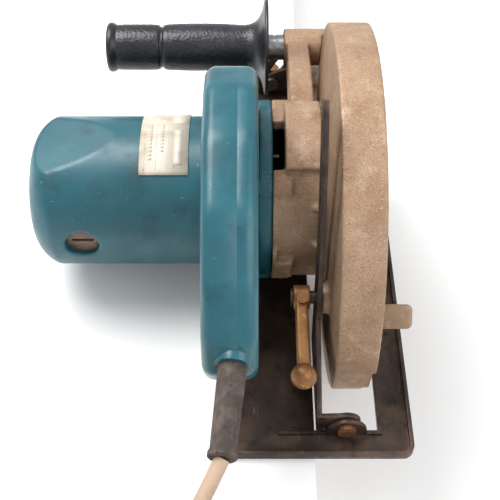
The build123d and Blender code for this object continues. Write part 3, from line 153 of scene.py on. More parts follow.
class SawColours(bpy.types.PropertyGroup):
    """Main colours of the finishes."""

    nylon: colour_property("Housing nylon", "The blue-green of the motor housing and handle", "#17525D")
    lacquer: colour_property("Casting lacquer", "The sandy bronze lacquer of the castings", "#A88A6F")
    steel: colour_property("Sole finish", "The dark finish of the base plate", "#453A34")
    lever: colour_property("Lever lacquer", "The warmer bronze of the clamping levers", "#94683F")
    jacket: colour_property("Cord jacket", "The sun-faded cord", "#B79C84")


# ---- Nodes and materials ----


def add(tree, kind, values=None, links=None, **settings):
    """Adds one node, with its settings, the values of its inputs, and what feeds them."""
    made = tree.nodes.new(kind)
    for name, value in settings.items():
        setattr(made, name, value)
    for key, value in (values or {}).items():
        made.inputs[key].default_value = value
    for key, source in (links or {}).items():
        tree.links.new(source, made.inputs[key])
    return made


def new_material(name, values):
    """A material with one shader whose plain values are set on its own sockets."""
    material = bpy.data.materials.new(name)
    material.use_nodes = True
    tree = material.node_tree
    tree.nodes.clear()
    shader = add(tree, "ShaderNodeBsdfPrincipled", values)
    add(tree, "ShaderNodeOutputMaterial", links={"Surface": shader.outputs["BSDF"]})
    return material, tree, shader


def blotches(tree, place, size, low, high, detail=4.0, stretch=(1, 1, 1)):
    """A 0 to 1 mask of soft patches of the given size, between two levels of the noise."""
    turned = add(tree, "ShaderNodeMapping", {"Scale": stretch}, {"Vector": place})
    noise = add(tree, "ShaderNodeTexNoise", {"Scale": 1 / size, "Detail": detail, "Roughness": 0.6},
                {"Vector": turned.outputs["Vector"]})
    return add(tree, "ShaderNodeMapRange", {"From Min": low, "From Max": high},
               {"Value": noise.outputs["Fac"]}).outputs["Result"]


def blend_colour(tree, first, second, mask):
    """Mixes two colours, each a socket or a plain colour, by a mask."""
    mix = add(tree, "ShaderNodeMix", data_type="RGBA")
    tree.links.new(mask, mix.inputs["Factor"])
    for key, colour in ((6, first), (7, second)):
        if isinstance(colour, bpy.types.NodeSocket):
            tree.links.new(colour, mix.inputs[key])
        else:
            mix.inputs[key].default_value = colour
    return mix.outputs[2]


def worn_finish(name, layers, rough, grain=(), plain=None):
    """A surface built up in layers.

    layers are (colour, patch size, low, high, stretch) over the first one, which is a plain colour.
    rough is (lowest, highest, patch size), grain is a list of (size, depth) for the relief, and plain holds
    the values that are the same all over.
    """
    material, tree, shader = new_material(name, plain)
    place = add(tree, "ShaderNodeTexCoord").outputs["Object"]
    colour = layers[0]
    for over, size, low, high, stretch in layers[1:]:
        colour = blend_colour(tree, colour, over, blotches(tree, place, size, low, high, stretch=stretch))
    if isinstance(colour, bpy.types.NodeSocket):
        tree.links.new(colour, shader.inputs["Base Color"])
    else:
        shader.inputs["Base Color"].default_value = colour
    smooth, matt, size = rough
    mask = blotches(tree, place, size, 0.35, 0.65)
    spread = add(tree, "ShaderNodeMapRange", {"To Min": smooth, "To Max": matt}, {"Value": mask})
    tree.links.new(spread.outputs["Result"], shader.inputs["Roughness"])
    relief = None
    for size, depth in grain:
        noise = add(tree, "ShaderNodeTexNoise", {"Scale": 1 / size, "Detail": 2.0, "Roughness": 0.55},
                    {"Vector": place})
        links = {"Height": noise.outputs["Fac"]}
        if relief:
            links["Normal"] = relief
        relief = add(tree, "ShaderNodeBump", {"Strength": 1.0, "Distance": depth}, links).outputs["Normal"]
    if relief:
        tree.links.new(relief, shader.inputs["Normal"])
    return material


EVEN = (1, 1, 1)
ALONG_X = (0.12, 1, 1)
ALONG_Y = (1, 0.12, 1)


def make_materials(colours):
    """Every finish of the saw, by a short key."""
    made = {}
    # Glass-filled nylon, moulded: satin gloss, sun-faded in patches, with pale scuffs and small chalky marks.
    made["nylon"] = worn_finish(
        "Nylon 6 glass-filled moulded", [
            tuple(colours.nylon), (linear("#1F5F69"), 60 * MM, 0.42, 0.66, EVEN),
            (linear("#113F49"), 24 * MM, 0.55, 0.75, EVEN), (linear("#41767C"), 5 * MM, 0.66, 0.78, EVEN),
            (linear("#6B9598"), 2 * MM, 0.69, 0.75, ALONG_Y),
            (linear("#84A6A6"), 1.5 * MM, 0.71, 0.76, ALONG_X)],
        (0.30, 0.46, 12 * MM), [(1.1 * MM, 0.035 * MM)], plain={"IOR": 1.53})
    # The handle's shells are handled daily, so the same nylon is polished and a shade bluer.
    made["handle nylon"] = worn_finish(
        "Nylon 6 glass-filled handled", [
            tuple(colours.nylon), (linear("#1D5E69"), 45 * MM, 0.40, 0.65, EVEN),
            (linear("#12444F"), 18 * MM, 0.56, 0.76, EVEN), (linear("#5F8F94"), 1.8 * MM, 0.70, 0.76, EVEN),
            (linear("#719A9C"), 1.5 * MM, 0.71, 0.76, ALONG_Y)],
        (0.26, 0.40, 16 * MM), [(1.3 * MM, 0.03 * MM)], plain={"IOR": 1.53})
    # Cast aluminium, grit-blasted and lacquered: a coarse sandy skin, browner where dust has settled.
    made["casting"] = worn_finish(
        "Aluminium sand-textured lacquer", [
            tuple(colours.lacquer), (linear("#907056"), 34 * MM, 0.44, 0.68, EVEN),
            (linear("#B89E84"), 14 * MM, 0.54, 0.72, EVEN), (linear("#7A604A"), 1.1 * MM, 0.53, 0.72, EVEN),
            (linear("#CDB49A"), 1.0 * MM, 0.57, 0.74, EVEN)],
        (0.50, 0.68, 9 * MM), [(1.0 * MM, 0.20 * MM), (3.5 * MM, 0.14 * MM)], plain={"Metallic": 0.35})
    # The lower guard is pressed aluminium in the same lacquer, rubbed by chips in arcs.
    made["guard"] = worn_finish(
        "Aluminium pressed lacquered", [
            tuple(colours.lacquer), (linear("#8F7862"), 22 * MM, 0.45, 0.68, EVEN),
            (linear("#B9B0A4"), 6 * MM, 0.60, 0.74, ALONG_Y)],
        (0.34, 0.52, 8 * MM), [(1.8 * MM, 0.04 * MM)], plain={"Metallic": 0.55})
    # Pressed steel with a dark oxide finish, rubbed through to brown and bare metal.
    made["sole"] = worn_finish(
        "Steel pressed dark oxide", [
            tuple(colours.steel), (linear("#5E4C40"), 28 * MM, 0.44, 0.66, EVEN),
            (linear("#2E2825"), 12 * MM, 0.54, 0.72, EVEN), (linear("#8C7F74"), 3 * MM, 0.66, 0.76, ALONG_Y),
            (linear("#7A4A30"), 7 * MM, 0.66, 0.78, EVEN)],
        (0.32, 0.55, 10 * MM), [(2.2 * MM, 0.05 * MM)], plain={"Metallic": 0.7})
    # Zinc alloy levers, cast and lacquered: warmer than the cases and worn bright where fingers hold them.
    made["lever"] = worn_finish(
        "Zinc alloy cast bronze lacquer", [
            tuple(colours.lever), (linear("#7A5233"), 12 * MM, 0.48, 0.70, EVEN),
            (linear("#C09A74"), 4 * MM, 0.60, 0.74, EVEN)],
        (0.34, 0.52, 6 * MM), [(1.2 * MM, 0.06 * MM)], plain={"Metallic": 0.6})
    # Moulded nylon of the side grip: black with a low sheen; the pebbles themselves are in the mesh.
    made["grip"] = worn_finish(
        "Nylon moulded black", [
            linear("#121216"), (linear("#23222A"), 14 * MM, 0.48, 0.70, EVEN),
            (linear("#4B4A50"), 1.6 * MM, 0.72, 0.80, EVEN)],
        (0.30, 0.42, 8 * MM), [(0.9 * MM, 0.02 * MM)], plain={"IOR": 1.53})
    # Phenolic brush caps: brown, a little translucent-looking and rubbed by coins and drivers.
    made["phenolic"] = worn_finish(
        "Phenolic moulded brown", [
            linear("#5B4433"), (linear("#7C6048"), 4 * MM, 0.45, 0.66, EVEN),
            (linear("#3A2A1F"), 2.4 * MM, 0.58, 0.74, EVEN)],
        (0.36, 0.55, 3 * MM), [(0.8 * MM, 0.05 * MM)], plain={"IOR": 1.6})
    # The cord guard is natural rubber that has dried out: dusty, with fine cracks round it.
    made["guard rubber"] = worn_finish(
        "Rubber moulded weathered", [
            linear("#3B322C"), (linear("#5E5046"), 10 * MM, 0.44, 0.66, EVEN),
            (linear("#221D1A"), 2.2 * MM, 0.58, 0.70, EVEN)],
        (0.62, 0.82, 8 * MM), [(1.4 * MM, 0.09 * MM)])
    # PVC cord jacket, extruded: once grey, gone beige and dull, with darker grime in patches.
    made["jacket"] = worn_finish(
        "PVC extruded faded", [
            tuple(colours.jacket), (linear("#9A7F69"), 18 * MM, 0.46, 0.70, EVEN),
            (linear("#CDB7A2"), 7 * MM, 0.58, 0.74, EVEN)],
        (0.50, 0.66, 12 * MM), [(1.6 * MM, 0.03 * MM)])
    # Moulded rubber plug.
    made["plug rubber"] = worn_finish(
        "Rubber moulded black", [linear("#1B1A1B"), (linear("#2F2C2A"), 12 * MM, 0.48, 0.70, EVEN)],
        (0.50, 0.66, 8 * MM), [(1.2 * MM, 0.03 * MM)])
    # Zinc-plated steel: cool grey, slightly cloudy.
    made["zinc"] = worn_finish(
        "Steel zinc plated", [
            linear("#9DA0A2"), (linear("#7C7B78"), 3 * MM, 0.46, 0.68, EVEN),
            (linear("#6B5747"), 2 * MM, 0.66, 0.78, EVEN)],
        (0.28, 0.44, 3 * MM), [(0.9 * MM, 0.02 * MM)], plain={"Metallic": 1.0})
    # Steel screw left out in the wet: brown oxide with bright rubbed spots.
    made["rust"] = worn_finish(
        "Steel screw rusted", [
            linear("#6E4630"), (linear("#9A6844"), 2.5 * MM, 0.44, 0.64, EVEN),
            (linear("#A99F92"), 1.6 * MM, 0.64, 0.74, EVEN)],
        (0.45, 0.75, 2 * MM), [(0.9 * MM, 0.08 * MM)], plain={"Metallic": 0.6})
    # Tool steel disc, ground across both faces and dulled by resin.
    made["blade"] = worn_finish(
        "Tool steel ground", [
            linear("#A3A19C"), (linear("#8F8A82"), 40 * MM, 0.46, 0.72, EVEN),
            (linear("#B4B2AD"), 0.8 * MM, 0.50, 0.70, ALONG_Y),
            (linear("#7A6C5C"), 9 * MM, 0.66, 0.80, EVEN)],
        (0.26, 0.38, 6 * MM), [(0.7 * MM, 0.008 * MM)], plain={"Metallic": 1.0})
    # Sintered carbide tips: darker and smoother than the disc.
    made["carbide"] = worn_finish(
        "Tungsten carbide ground", [linear("#6D6C6E"), (linear("#8A898B"), 1.5 * MM, 0.45, 0.65, EVEN)],
        (0.22, 0.32, 2 * MM), plain={"Metallic": 1.0})
    # Turned and ground shafts, gears and flanges.
    made["turned"] = worn_finish(
        "Steel turned bright", [linear("#A6A39E"), (linear("#86817A"), 4 * MM, 0.46, 0.70, EVEN)],
        (0.24, 0.38, 3 * MM), [(0.6 * MM, 0.012 * MM)], plain={"Metallic": 1.0})
    # Stamped silicon-steel sheets, stacked and varnished.
    made["sheet stack"] = worn_finish(
        "Silicon steel stacked", [linear("#6C6864"), (linear("#4F4C4A"), 1.0 * MM, 0.46, 0.60, (8, 0.2, 0.2))],
        (0.40, 0.55, 4 * MM), plain={"Metallic": 0.9})
    # Enamelled copper wire, wound and dipped.
    made["copper"] = worn_finish(
        "Copper wire enamelled", [linear("#A8623A"), (linear("#7C4022"), 1.4 * MM, 0.46, 0.62, ALONG_X)],
        (0.30, 0.45, 3 * MM), [(1.2 * MM, 0.15 * MM)], plain={"Metallic": 0.8})
    # Pressed carbon brushes.
    made["carbon"] = worn_finish(
        "Carbon pressed", [linear("#2A2A2B"), (linear("#3B3B3C"), 1.5 * MM, 0.45, 0.65, EVEN)],
        (0.45, 0.60, 3 * MM))
    # Engraved foil plate, printed cream and yellowed.
    made["plate"] = worn_finish(
        "Aluminium foil printed cream", [
            linear("#D3C9B8"), (linear("#B5A58F"), 12 * MM, 0.48, 0.72, EVEN),
            (linear("#8E7E6C"), 2.4 * MM, 0.66, 0.76, EVEN)],
        (0.34, 0.50, 6 * MM))
    made["ink"] = worn_finish(
        "Printing ink dark", [linear("#2B2725"), (linear("#4A423C"), 3 * MM, 0.5, 0.7, EVEN)],
        (0.36, 0.50, 3 * MM))
    made["colour block"] = worn_finish(
        "Printing ink coral", [linear("#C4573F"), (linear("#D98A70"), 3 * MM, 0.5, 0.7, EVEN)],
        (0.36, 0.50, 3 * MM))
    # Bench and floor in matt paint; both stay pale so the saw stands out.
    made["floor"] = worn_finish("Paint matt pale", [linear("#F2F1EF")], (0.85, 0.9, 1.0))
    return made


NODE_FINISH = {
    "nylon": ("motor_housing", "air_baffle"),
    "handle nylon": ("handle_left", "handle_right"),
    "casting": ("gear_housing", "blade_case", "bearing_box"),
    "guard": ("lower_guard", "thumb_tab"),
    "sole": ("depth_stud", "base_plate", "depth_guide", "front_bracket", "bevel_quadrant"),
    "lever": ("depth_lever", "bevel_lever", "lever_set_screw"),
    "grip": ("side_grip", "trigger", "lock_button", "switch", "brush_holders", "cooling_fan", "cord_tie"),
    "phenolic": ("brush_caps",),
    "guard rubber": ("cord_guard",),
    "jacket": ("cord", "cord_coil"),
    "plug rubber": ("plug_body",),
    "zinc": ("housing_screws", "bearing_box_screws", "case_screws", "handle_screws", "bevel_bolt", "blade_bolt",
             "grip_stud", "plug_pins"),
    "rust": ("rear_bevel_bolt",),
    "blade": ("saw_blade",),
    "turned": ("armature_shaft", "motor_pinion", "arbor_shaft", "drive_gear", "inner_flange", "outer_flange",
               "depth_pivot_pin", "front_bevel_pin", "guard_snap_ring", "brush_springs", "rear_bearing",
               "drive_bearing", "arbor_inner_bearing", "arbor_outer_bearing"),
    "sheet stack": ("stator_core", "armature_core"),
    "copper": ("field_coils", "armature_windings", "commutator"),
    "carbon": ("carbon_brushes",),
    "plate": ("rating_plate",),
}
materials = {}


# ---- Meshes ----


def new_object(name, mesh):
    made = bpy.data.objects.new(name, mesh)
    bpy.context.scene.collection.objects.link(made)
    return made


def merged_copy(name, nodes):
    """One mesh of the given CAD nodes, its loose triangles joined up."""
    form = bmesh.new()
    for node in nodes:
        form.from_mesh(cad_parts[node].data)
    bmesh.ops.remove_doubles(form, verts=form.verts, dist=0.004 * MM)
    mesh = bpy.data.meshes.new(name)
    form.to_mesh(mesh)
    form.free()
    mesh.materials.clear()
    return new_object(name, mesh)


def bake_modifiers(obj):
    """Turns the evaluated object into a plain mesh and takes its modifiers off."""
    bpy.context.view_layer.update()
    graph = bpy.context.evaluated_depsgraph_get()
    mesh = bpy.data.meshes.new_from_object(obj.evaluated_get(graph))
    obj.modifiers.clear()
    if obj.type == "MESH":
        obj.data = mesh
        return obj
    made = new_object(obj.name + "_mesh", mesh)
    bpy.data.objects.remove(obj)
    return made


def smooth(obj, angle=40.0):
    """Smooth shading, with edges sharper than the angle left crisp."""
    for face in obj.data.polygons:
        face.use_smooth = True
    obj.data.set_sharp_from_angle(angle=math.radians(angle))


def finish_piece(obj, material, body, replaces=()):
    """Gives a piece its material and says what it is in the frame."""
    obj.data.materials.clear()
    obj.data.materials.append(materials[material])
    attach(obj, body)
    if replaces:
        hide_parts(*replaces)
    return obj


def cast_copy(name, nodes, cell, rounds):
    """A copy of CAD nodes with the soft corners of a casting."""
    obj = merged_copy(name, nodes)
    remesh = obj.modifiers.new("Cells", "REMESH")
    remesh.mode = "VOXEL"
    remesh.voxel_size = cell
    soften = obj.modifiers.new("Soften", "SMOOTH")
    soften.iterations = rounds
    soften.factor = 0.5
    bake_modifiers(obj)
    smooth(obj, 75)
    return obj


def pressed_copy(name, nodes, width, segments=2):
    """A copy of CAD nodes with a small radius on its sharp edges."""
    obj = merged_copy(name, nodes)
    form = bmesh.new()
    form.from_mesh(obj.data)
    bmesh.ops.dissolve_limit(form, angle_limit=math.radians(0.4), verts=form.verts, edges=form.edges)
    form.to_mesh(obj.data)
    form.free()
    bevel = obj.modifiers.new("Edge", "BEVEL")
    bevel.width = width
    bevel.segments = segments
    bevel.limit_method = "ANGLE"
    bevel.angle_limit = math.radians(35)
    bevel.use_clamp_overlap = True
    bake_modifiers(obj)
    smooth(obj, 40)
    return obj


def islands(node):
    """The boxes of a CAD node's separate solids, each (lowest corner, highest corner)."""
    form = bmesh.new()
    form.from_mesh(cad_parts[node].data)
    bmesh.ops.remove_doubles(form, verts=form.verts, dist=0.004 * MM)
    boxes, seen = [], set()
    for start in form.verts:
        if start in seen:
            continue
        group, queue = [], [start]
        seen.add(start)
        while queue:
            vert = queue.pop()
            group.append(vert.co.copy())
            for edge in vert.link_edges:
                other = edge.other_vert(vert)
                if other not in seen:
                    seen.add(other)
                    queue.append(other)
        boxes.append(tuple(Vector([pick(p[i] for p in group) for i in range(3)]) for pick in (min, max)))
    form.free()
    return boxes


def lathe_x(name, profile, centre, steps):
    """A closed body of revolution about an axis along X; the profile is (X, radius), ends on the axis."""
    form = bmesh.new()
    rings = []
    for x, r in profile[1:-1]:
        ring = [form.verts.new((x, centre[0] + r * math.cos(a), centre[1] + r * math.sin(a)))
                for a in (2 * math.pi * i / steps for i in range(steps))]
        rings.append(ring)
    for near, far in zip(rings, rings[1:]):
        for i in range(steps):
            j = (i + 1) % steps
            form.faces.new((near[i], near[j], far[j], far[i]))
    for ring, tip in ((rings[0], profile[0]), (rings[-1], profile[-1])):
        pole = form.verts.new((tip[0], *centre))
        for i in range(steps):
            form.faces.new((ring[i], ring[(i + 1) % steps], pole))
    bmesh.ops.recalc_face_normals(form, faces=form.faces)
    mesh = bpy.data.meshes.new(name)
    form.to_mesh(mesh)
    form.free()
    return new_object(name, mesh)


def spread_points(points, step):
    """The profile with points added on its runs, no further apart than the step."""
    dense = [points[0]]
    for (x0, r0), (x1, r1) in zip(points, points[1:]):
        count = max(1, round(math.hypot(x1 - x0, r1 - r0) / step))
        dense += [(x0 + (x1 - x0) * i / count, r0 + (r1 - r0) * i / count) for i in range(1, count + 1)]
    return dense


def rounded_profile(points, passes):
    """The profile with its corners cut a few times over, which leaves them round; its ends stay."""
    for _ in range(passes):
        cut = [points[0]]
        for (x0, r0), (x1, r1) in zip(points, points[1:]):
            cut += [(x0 * 0.75 + x1 * 0.25, r0 * 0.75 + r1 * 0.25),
                    (x0 * 0.25 + x1 * 0.75, r0 * 0.25 + r1 * 0.75)]
        points = [*cut, points[-1]]
    return points


# ---- Geometry Nodes ----


def new_tree(name, inputs):
    """A geometry tree with named inputs, and the identifiers that a modifier needs."""
    tree = bpy.data.node_groups.new(name, "GeometryNodeTree")
    tree.interface.new_socket(name="Geometry", in_out="OUTPUT", socket_type="NodeSocketGeometry")
    keys = {}
    for label, kind in inputs:
        item = tree.interface.new_socket(name=label, in_out="INPUT", socket_type=kind)
        keys[label] = item.identifier
    source = tree.nodes.new("NodeGroupInput")
    return tree, source, keys


def end_tree(tree, geometry, source):
    """Realizes instances, sets the material and feeds the output."""
    real = add(tree, "GeometryNodeRealizeInstances", links={"Geometry": geometry})
    painted = add(tree, "GeometryNodeSetMaterial",
                  links={"Geometry": real.outputs[0], "Material": source.outputs["Material"]})
    add(tree, "NodeGroupOutput", links={"Geometry": painted.outputs[0]})


def run_tree(obj, tree, keys, values):
    """Gives an object the tree with its values, and turns the result into a plain mesh."""
    modifier = obj.modifiers.new(tree.name, "NODES")
    modifier.node_group = tree
    for label, value in values.items():
        modifier[keys[label]] = value
    return bake_modifiers(obj)


def screw_tree():
    """Pan-head screws with a cross recess, one on each point, along the axis that Turn gives."""
    tree, source, keys = new_tree("Screws", [
        ("Geometry", "NodeSocketGeometry"), ("Head radius", "NodeSocketFloat"), ("Head height", "NodeSocketFloat"),
        ("Shank radius", "NodeSocketFloat"), ("Shank length", "NodeSocketFloat"), ("Turn", "NodeSocketVector"),
        ("Material", "NodeSocketMaterial")])
    sizes = source.outputs
    head = add(tree, "GeometryNodeMeshCylinder", {"Vertices": 40, "Side Segments": 1},
               {"Radius": sizes["Head radius"], "Depth": sizes["Head height"]})
    half = add(tree, "ShaderNodeMath", {1: 0.5}, {0: sizes["Head height"]}, operation="MULTIPLY")
    lift = add(tree, "ShaderNodeCombineXYZ", links={"Z": half.outputs[0]})
    head_up = add(tree, "GeometryNodeTransform",
                  links={"Geometry": head.outputs["Mesh"], "Translation": lift.outputs[0]})
    arm = add(tree, "ShaderNodeMath", {1: 1.15}, {0: sizes["Head radius"]}, operation="MULTIPLY")
    blade = add(tree, "ShaderNodeMath", {1: 0.24}, {0: sizes["Head radius"]}, operation="MULTIPLY")
    bars = []
    for long_key, short_key in (("X", "Y"), ("Y", "X")):
        size = add(tree, "ShaderNodeCombineXYZ",
                   links={long_key: arm.outputs[0], short_key: blade.outputs[0], "Z": sizes["Head height"]})
        cube = add(tree, "GeometryNodeMeshCube", links={"Size": size.outputs[0]})
        full = add(tree, "ShaderNodeCombineXYZ", links={"Z": sizes["Head height"]})
        bars.append(add(tree, "GeometryNodeTransform",
                        links={"Geometry": cube.outputs["Mesh"], "Translation": full.outputs[0]}))
    cut = add(tree, "GeometryNodeMeshBoolean", operation="DIFFERENCE", solver="EXACT")
    tree.links.new(head_up.outputs[0], cut.inputs["Mesh 1"])
    for bar in bars:
        tree.links.new(bar.outputs[0], cut.inputs["Mesh 2"])
    shank = add(tree, "GeometryNodeMeshCylinder", {"Vertices": 20},
                {"Radius": sizes["Shank radius"], "Depth": sizes["Shank length"]})
    down = add(tree, "ShaderNodeMath", {1: -0.5}, {0: sizes["Shank length"]}, operation="MULTIPLY")
    drop = add(tree, "ShaderNodeCombineXYZ", links={"Z": down.outputs[0]})
    shank_down = add(tree, "GeometryNodeTransform",
                     links={"Geometry": shank.outputs["Mesh"], "Translation": drop.outputs[0]})
    whole = add(tree, "GeometryNodeJoinGeometry")
    tree.links.new(cut.outputs["Mesh"], whole.inputs[0])
    tree.links.new(shank_down.outputs[0], whole.inputs[0])
    placed = add(tree, "GeometryNodeInstanceOnPoints",
                 links={"Points": sizes["Geometry"], "Instance": whole.outputs[0], "Rotation": sizes["Turn"]})
    end_tree(tree, placed.outputs[0], source)
    return tree, keys


def tip_tree():
    """Carbide tips evenly round a blade whose axis is X."""
    tree, source, keys = new_tree("Blade tips", [
        ("Geometry", "NodeSocketGeometry"), ("Teeth", "NodeSocketInt"), ("Radius", "NodeSocketFloat"),
        ("Tip size", "NodeSocketVector"), ("Centre", "NodeSocketVector"), ("Material", "NodeSocketMaterial")])
    sizes = source.outputs
    circle = add(tree, "GeometryNodeMeshCircle", links={"Vertices": sizes["Teeth"], "Radius": sizes["Radius"]})
    cube = add(tree, "GeometryNodeMeshCube", links={"Size": sizes["Tip size"]})
    position = add(tree, "GeometryNodeInputPosition")
    outward = add(tree, "FunctionNodeAlignRotationToVector", links={"Vector": position.outputs[0]}, axis="X",
                  pivot_axis="Z")
    placed = add(tree, "GeometryNodeInstanceOnPoints",
                 links={"Points": circle.outputs["Mesh"], "Instance": cube.outputs["Mesh"],
                        "Rotation": outward.outputs[0]})
    # The circle lies flat; a quarter turn about Z and one about X stand it across the arbor.
    upright = add(tree, "GeometryNodeTransform", {"Rotation": (math.pi / 2, 0, math.pi / 2)},
                  {"Geometry": placed.outputs[0], "Translation": sizes["Centre"]})
    end_tree(tree, upright.outputs[0], source)
    return tree, keys


def pebble_tree():
    """Raises a fine pebbled skin between two places along X, and leaves a plain band at the groove."""
    tree, source, keys = new_tree("Pebbled skin", [
        ("Geometry", "NodeSocketGeometry"), ("Pebble", "NodeSocketFloat"), ("Height", "NodeSocketFloat"),
        ("From", "NodeSocketFloat"), ("To", "NodeSocketFloat"), ("Groove", "NodeSocketFloat"),
        ("Material", "NodeSocketMaterial")])
    sizes = source.outputs
    position = add(tree, "GeometryNodeInputPosition")
    density = add(tree, "ShaderNodeMath", {0: 1.0}, {1: sizes["Pebble"]}, operation="DIVIDE")
    cells = add(tree, "ShaderNodeTexVoronoi", {"Randomness": 0.9},
                {"Vector": position.outputs[0], "Scale": density.outputs[0]}, feature="SMOOTH_F1")
    dome = add(tree, "ShaderNodeMapRange", {"From Min": 0.55, "From Max": 0.1},
               {"Value": cells.outputs["Distance"]}, interpolation_type="SMOOTHSTEP")
    along = add(tree, "ShaderNodeSeparateXYZ", links={"Vector": position.outputs[0]})
    after = add(tree, "ShaderNodeMath", links={0: along.outputs["X"], 1: sizes["From"]}, operation="GREATER_THAN")
    before = add(tree, "ShaderNodeMath", links={0: along.outputs["X"], 1: sizes["To"]}, operation="LESS_THAN")
    from_groove = add(tree, "ShaderNodeMath", links={0: along.outputs["X"], 1: sizes["Groove"]}, operation="SUBTRACT")
    clear = add(tree, "ShaderNodeMath", links={0: from_groove.outputs[0]}, operation="ABSOLUTE")
    off_groove = add(tree, "ShaderNodeMath", {1: 4 * MM}, {0: clear.outputs[0]}, operation="GREATER_THAN")
    between = add(tree, "ShaderNodeMath", links={0: after.outputs[0], 1: before.outputs[0]}, operation="MULTIPLY")
    share = add(tree, "ShaderNodeMath", links={0: between.outputs[0], 1: off_groove.outputs[0]},
                operation="MULTIPLY")
    rise = add(tree, "ShaderNodeMath", links={0: dome.outputs[0], 1: share.outputs[0]}, operation="MULTIPLY")
    height = add(tree, "ShaderNodeMath", links={0: rise.outputs[0], 1: sizes["Height"]}, operation="MULTIPLY")
    normal = add(tree, "GeometryNodeInputNormal")
    offset = add(tree, "ShaderNodeVectorMath", operation="SCALE")
    tree.links.new(normal.outputs[0], offset.inputs[0])
    tree.links.new(height.outputs[0], offset.inputs["Scale"])
    moved = add(tree, "GeometryNodeSetPosition",
                links={"Geometry": sizes["Geometry"], "Offset": offset.outputs[0]})
    end_tree(tree, moved.outputs[0], source)
    return tree, keys


# ---- Operators, one for each piece or group of like pieces ----


class PaintFrame(bpy.types.Operator):
    """Gives every CAD node the finish of its real material"""

    bl_idname = "circular_saw.finishes"
    bl_label = "Finishes of the CAD parts"

    def execute(self, context):
        materials.update(make_materials(context.scene.saw_colours))
        for key, nodes in NODE_FINISH.items():
            for name in nodes:
                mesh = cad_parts[name].data
                mesh.materials.clear()
                mesh.materials.append(materials[key])
        return {"FINISHED"}


def coil_lane(turns):
    """The column and layer of the coil after so many turns, eased from one step to the next."""
    for (t0, c0, l0), (t1, c1, l1) in zip(COIL_STEPS, COIL_STEPS[1:]):
        if t0 <= turns <= t1:
            share = (turns - t0) / (t1 - t0)
            eased = share * share * (3 - 2 * share)
            return c0 + (c1 - c0) * eased, l0 + (l1 - l0) * eased
    return COIL_STEPS[-1][1:]


def coil_points(sizes):
    """The turns of the stored coil, clockwise from above, from the route's end to the plug's tail."""
    diameter = sizes.cord_diameter
    lane = diameter * 1.03
    outer = sizes.coil_radius + lane
    swell = 1 / math.cos(math.pi / POINTS_PER_TURN)  # the curve runs inside its control points by this much
    points = []
    first = round(COIL_START_TURN * POINTS_PER_TURN)
    for step in range(first, round(COIL_TURNS * POINTS_PER_TURN) + 1):
        turns = step / POINTS_PER_TURN
        column, layer = coil_lane(turns)
        r = (outer - column * lane) * swell
        angle = math.radians(270) - 2 * math.pi * turns
        points.append((COIL_CENTRE[0] + r * math.cos(angle), COIL_CENTRE[1] + r * math.sin(angle),
                       diameter / 2 + layer * lane))
    tail_y = COIL_CENTRE[1] + sizes.coil_radius + lane
    points += [(COIL_CENTRE[0] + along, tail_y, height) for along, height in TAIL_STEPS]
    return points


class MainsCord(bpy.types.Operator):
    """The mains cord: down from its guard to the bench, wound up for storage, then out to its plug"""

    bl_idname = "circular_saw.cord"
    bl_label = "Mains cord"

    def execute(self, context):
        sizes = context.scene.saw_sizes
        curve = bpy.data.curves.new("mains_cord", "CURVE")
        curve.dimensions = "3D"
        curve.bevel_depth = sizes.cord_diameter / 2
        curve.bevel_resolution = 4
        curve.resolution_u = 4
        curve.use_fill_caps = True
        spline = curve.splines.new("NURBS")
        points = [*CORD_ROUTE, *coil_points(sizes)]
        spline.points.add(len(points) - 1)
        for point, place in zip(spline.points, points):
            point.co = (*place, 1.0)
        spline.order_u = 3
        spline.use_endpoint_u = True
        cord = new_object("mains_cord", curve)
        curve.materials.append(materials["jacket"])
        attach(cord, "saw")
        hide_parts("cord", "cord_coil")
        return {"FINISHED"}


class Castings(bpy.types.Operator):
    """The sand-textured castings: gear housing and blade case"""

    bl_idname = "circular_saw.castings"
    bl_label = "Castings"

    def execute(self, context):
        cell = context.scene.saw_sizes.cast_cell
        for name, node, rounds in (("cast_gear_housing", "gear_housing", 4), ("cast_blade_case", "blade_case", 5)):
            piece = cast_copy(name, [node], cell, rounds)
            finish_piece(piece, "casting", "saw", [node])
        return {"FINISHED"}


class MotorBarrel(bpy.types.Operator):
    """The moulded motor barrel, with the soft corners that a moulding has"""

    bl_idname = "circular_saw.barrel"
    bl_label = "Motor barrel"

    def execute(self, context):
        barrel = cast_copy("moulded_barrel", ["motor_housing"], context.scene.saw_sizes.cast_cell, 7)
        finish_piece(barrel, "nylon", "saw", ["motor_housing"])
        return {"FINISHED"}


class HandleShells(bpy.types.Operator):
    """The two moulded shells of the D-handle, with a small radius along the parting line"""

    bl_idname = "circular_saw.handle"
    bl_label = "Handle shells"

    def execute(self, context):
        for side in ("left", "right"):
            shell = pressed_copy("moulded_handle_" + side, ["handle_" + side], 0.55 * MM)
            finish_piece(shell, "handle nylon", "saw", ["handle_" + side])
        return {"FINISHED"}


